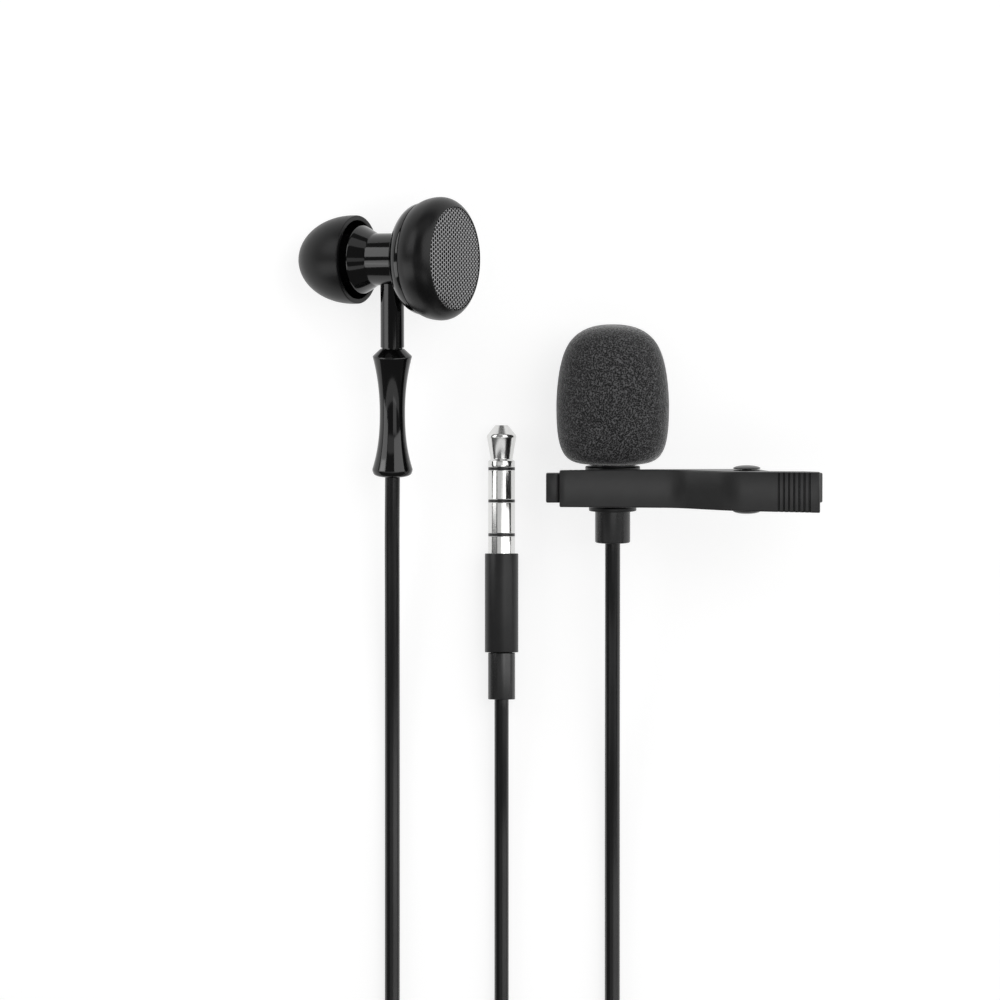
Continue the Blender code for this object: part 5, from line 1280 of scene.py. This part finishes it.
def make_plug():
    """Tip with its centre rod, the rings and the sleeve, and the insulating bands between them."""
    bulb = arc((PLUG_BULB_RADIUS - PLUG_BULB_ROUND, PLUG_BULB_PLACE), (PLUG_BULB_ROUND, PLUG_BULB_ROUND),
               *PLUG_BULB_ARC, 10)
    end = PLUG_POLES[0]
    rod_end = PLUG_METAL_END + PLUG_SOCKET_DEPTH - SEAT_GAP
    tip = soften([(0.0, 0.0), (PLUG_APEX_RADIUS, 0.0)] + bulb + [
        (PLUG_WAIST_RADIUS, PLUG_WAIST_PLACE), (PLUG_RADIUS, PLUG_WAIST_PLACE + 2.0 * EDGE),
        (PLUG_RADIUS, end), (PLUG_CORE_RADIUS, end), (PLUG_CORE_RADIUS, rod_end), (0.0, rod_end)],
        EDGE / 2.0)
    pieces = [fixed("jack_tip", tip, PLUG_AXIS, "nickel", "plug_tip")]
    metals = (("jack_ring_1", "plug_ring_1"), ("jack_ring_2", "plug_ring_2"), ("jack_sleeve", "plug_sleeve"))
    ends = list(PLUG_POLES[1:]) + [rod_end]
    rounding = EDGE / 3.0
    for number, (start, (name, node), metal_end) in enumerate(zip(PLUG_POLES, metals, ends), 1):
        low, high = start + PLUG_BAND_GAP, start + PLUG_BAND - PLUG_BAND_GAP
        outer = PLUG_RADIUS - PLUG_BAND_GAP
        band = [(PLUG_TUBE_BORE, low), (outer, low), (outer, high), (PLUG_TUBE_BORE, high)]
        pieces.append(fixed("jack_band_%d" % number, band, PLUG_AXIS, "insulator",
                            "plug_insulator_%d" % number))
        metal = start + PLUG_BAND
        outline = [(PLUG_TUBE_BORE, metal), (PLUG_RADIUS - rounding, metal), (PLUG_RADIUS, metal + rounding),
                   (PLUG_RADIUS, metal_end - rounding), (PLUG_RADIUS - rounding, metal_end),
                   (PLUG_TUBE_BORE, metal_end)]
        pieces.append(fixed(name, outline, PLUG_AXIS, "nickel", node))
    return pieces + make_plug_housing()


def make_plug_housing():
    """Plain housing and the boot that the lead comes out of."""
    front = PLUG_METAL_END
    back = front + PLUG_HOUSING_LENGTH
    boot_end = back + SEAT_GAP + PLUG_BOOT_LENGTH
    barrel = PLUG_RADIUS + SEAT_GAP / 4.0
    spigot = PLUG_BOOT_RADIUS - 2.0 * SEAT_GAP
    socket = spigot + SEAT_GAP / 2.0
    floor = back - INSERT_DEPTH - SEAT_GAP
    sleeve_floor = front + PLUG_SOCKET_DEPTH
    housing = soften([(0.0, sleeve_floor), (barrel, sleeve_floor), (barrel, front),
                      (PLUG_HOUSING_RADIUS, front), (PLUG_HOUSING_RADIUS, back), (socket, back),
                      (socket, floor), (0.0, floor)], EDGE)
    bore = LEAD_DIAMETER / 2.0 + CORD_BORE_GAP
    boot = soften([(bore, back - INSERT_DEPTH), (spigot, back - INSERT_DEPTH), (spigot, back + CORD_BORE_GAP),
                   (PLUG_BOOT_RADIUS, back + CORD_BORE_GAP), (PLUG_BOOT_RADIUS, boot_end), (bore, boot_end)],
                  EDGE)
    return [fixed("jack_housing", housing, PLUG_AXIS, "housing_black", "plug_housing"),
            fixed("jack_boot", boot, PLUG_AXIS, "relief_black", "plug_boot")]


# ---------------------------------------------------------------- splitter

def make_splitter():
    """Two rounded shells that meet at a seam, with a hole for each cord."""
    place = Matrix.Translation((*SPLITTER_PLACE, 0.0))
    half_x, half_y, height = SPLITTER_SIZE[0] / 2.0, SPLITTER_SIZE[1] / 2.0, SPLITTER_SIZE[2]
    seam_low = (height - SPLITTER_SEAM) / 2.0
    seam_high = (height + SPLITTER_SEAM) / 2.0
    pieces = []
    for name, node, low, high in (("splitter_bottom", "splitter_lower_shell", 0.0, seam_low),
                                  ("splitter_top", "splitter_upper_shell", seam_high, height)):
        shell = rounded_block(name, (-half_x, -half_y, 0.0), (half_x, half_y, height), place, "housing_black",
                              SPLITTER_EDGE, 6)
        keep = rounded_block("keep", (-half_x * 2.0, -half_y * 2.0, low - (low == 0.0) * height),
                             (half_x * 2.0, half_y * 2.0, high + (high == height) * height), place,
                             "housing_black", EDGE, 1)
        combined(shell, keep, "INTERSECT")
        for port, diameter in zip(splitter_ports(), (BRANCH_DIAMETER, BRANCH_DIAMETER, LEAD_DIAMETER)):
            hole = diameter / 2.0 + CORD_BORE_GAP
            inside, outside = -2.0 * CORD_INSERT, CORD_INSERT
            drill = turned("port", [(0.0, inside), (hole, inside), (hole, outside), (0.0, outside)], port,
                           "housing_black", PORT_ROUND)
            combined(shell, drill, "DIFFERENCE")
        pieces.append(shown(shell, "corded_set", "housing_black", node))
    return pieces


# ---------------------------------------------------------------- studio

FLOOR_RADIUS = 3.0
FLOOR_WHITE = 0.88           # what the floor gives back to the object
FLOOR_SHADED = 0.34          # the part of its seen white that a shadow takes away
FLOOR_LIFT = 0.76            # the part that stays
WORLD_LEVEL = 0.13
BOX_DISTANCE = 1.1
# name, angles to the right and to the top of the picture, half angles across them, radiance
SOFTBOXES = (
    ("overhead_box", (-12.0, 0.0), (25.0, 6.0), 0.58),
    ("right_box", (46.0, 18.0), (34.0, 23.0), 2.1),
    ("low_right_strip", (84.0, 5.0), (5.0, 30.0), 1.0),
    ("left_box", (-62.0, 29.0), (15.0, 18.0), 2.4),
    ("front_strip", (0.0, -27.0), (60.0, 6.0), 0.8),
    ("top_box", (0.0, 58.0), (30.0, 14.0), 0.7),
)
# small panels close by: name, place, what they face, sizes, radiance
PANELS = (
    ("stem_panel", (-0.0686, -0.0043, 0.031), (-0.0215, 0.002, 0.005), (0.042, 0.026), 2.2),
    ("clip_panel", (0.012, -0.0262, 0.080), (0.012, -0.015, 0.010), (0.048, 0.018), 1.1),
)


def make_floor():
    """White floor: it gives back plain light, and where it is seen it only loses a little in a shadow."""
    material, tree, shader = new_material("pale_floor", (FLOOR_WHITE,) * 3, 0.9, Specular_IOR_Level=0.0)
    path = add(tree, "ShaderNodeLightPath")
    seen = maths(tree, "MAXIMUM", path.outputs["Is Camera Ray"], path.outputs["Is Glossy Ray"])
    seen = maths(tree, "MAXIMUM", seen, path.outputs["Is Transmission Ray"])
    white = add(tree, "ShaderNodeMix", [("Factor", seen)], data_type="RGBA")
    white.inputs["A"].default_value = (FLOOR_WHITE, FLOOR_WHITE, FLOOR_WHITE, 1.0)
    white.inputs["B"].default_value = (FLOOR_SHADED, FLOOR_SHADED, FLOOR_SHADED, 1.0)
    tree.links.new(white.outputs["Result"], shader.inputs["Base Color"])
    shader.inputs["Emission Color"].default_value = (1.0, 1.0, 1.0, 1.0)
    tree.links.new(maths(tree, "MULTIPLY", seen, FLOOR_LIFT), shader.inputs["Emission Strength"])
    builder = bmesh.new()
    bmesh.ops.create_circle(builder, cap_ends=True, segments=SMALL_ROUND, radius=FLOOR_RADIUS)
    mesh = bpy.data.meshes.new("floor")
    builder.to_mesh(mesh)
    builder.free()
    mesh.materials.append(material)
    floor = bpy.data.objects.new("floor", mesh)
    bpy.context.scene.collection.objects.link(floor)


def make_panel(name, place, target, sizes, radiance):
    """Soft light that faces its target, its first side level with the picture's rows."""
    data = bpy.data.lights.new(name, "AREA")
    data.shape = "RECTANGLE"
    data.size, data.size_y = sizes
    data.energy = radiance * math.pi * sizes[0] * sizes[1]
    way = (Vector(place) - Vector(target)).normalized()
    light = bpy.data.objects.new(name, data)
    light.matrix_world = axes(place, Vector((0.0, 1.0, 0.0)).cross(way).normalized(), way)
    light.visible_camera = False
    bpy.context.scene.collection.objects.link(light)


def make_lights():
    """A dim even world, six soft boxes round the set and two small panels close to it."""
    world = bpy.data.worlds.new("studio")
    world.use_nodes = True
    background = world.node_tree.nodes["Background"]
    background.inputs["Color"].default_value = (1.0, 1.0, 1.0, 1.0)
    background.inputs["Strength"].default_value = WORLD_LEVEL
    bpy.context.scene.world = world
    for name, (across, up), half_angles, radiance in SOFTBOXES:
        across, up = math.radians(across), math.radians(up)
        way = Vector((math.sin(across) * math.cos(up), math.sin(up), math.cos(across) * math.cos(up)))
        sizes = [2.0 * BOX_DISTANCE * math.tan(math.radians(half)) for half in half_angles]
        make_panel(name, Vector(VIEW_MIDDLE) + way * BOX_DISTANCE, VIEW_MIDDLE, sizes, radiance)
    for panel in PANELS:
        make_panel(*panel)


# ---------------------------------------------------------------- the whole set

def dress_cad_nodes():
    """The inner parts that stay as they are get their finish."""
    for part in frame["record"]["subparts"]:
        node = frame["nodes"][part["node"]]
        node.data.materials.clear()
        node.data.materials.append(finishes[part["material_slot"]])


make_camera()
finishes = make_finishes()
dress_cad_nodes()
cords, ties = make_cords()
make_windscreen()
make_microphone()
make_thumb_lever()
make_base_lever()
make_pin()
make_holder_ring()
make_spring()
make_ear_neck(make_ear_shells())
make_ear_mesh()
make_ear_tip()
make_stem()
plug = make_plug()
make_splitter()
make_floor()
make_lights()
bpy.context.scene.view_settings.view_transform = "Standard"
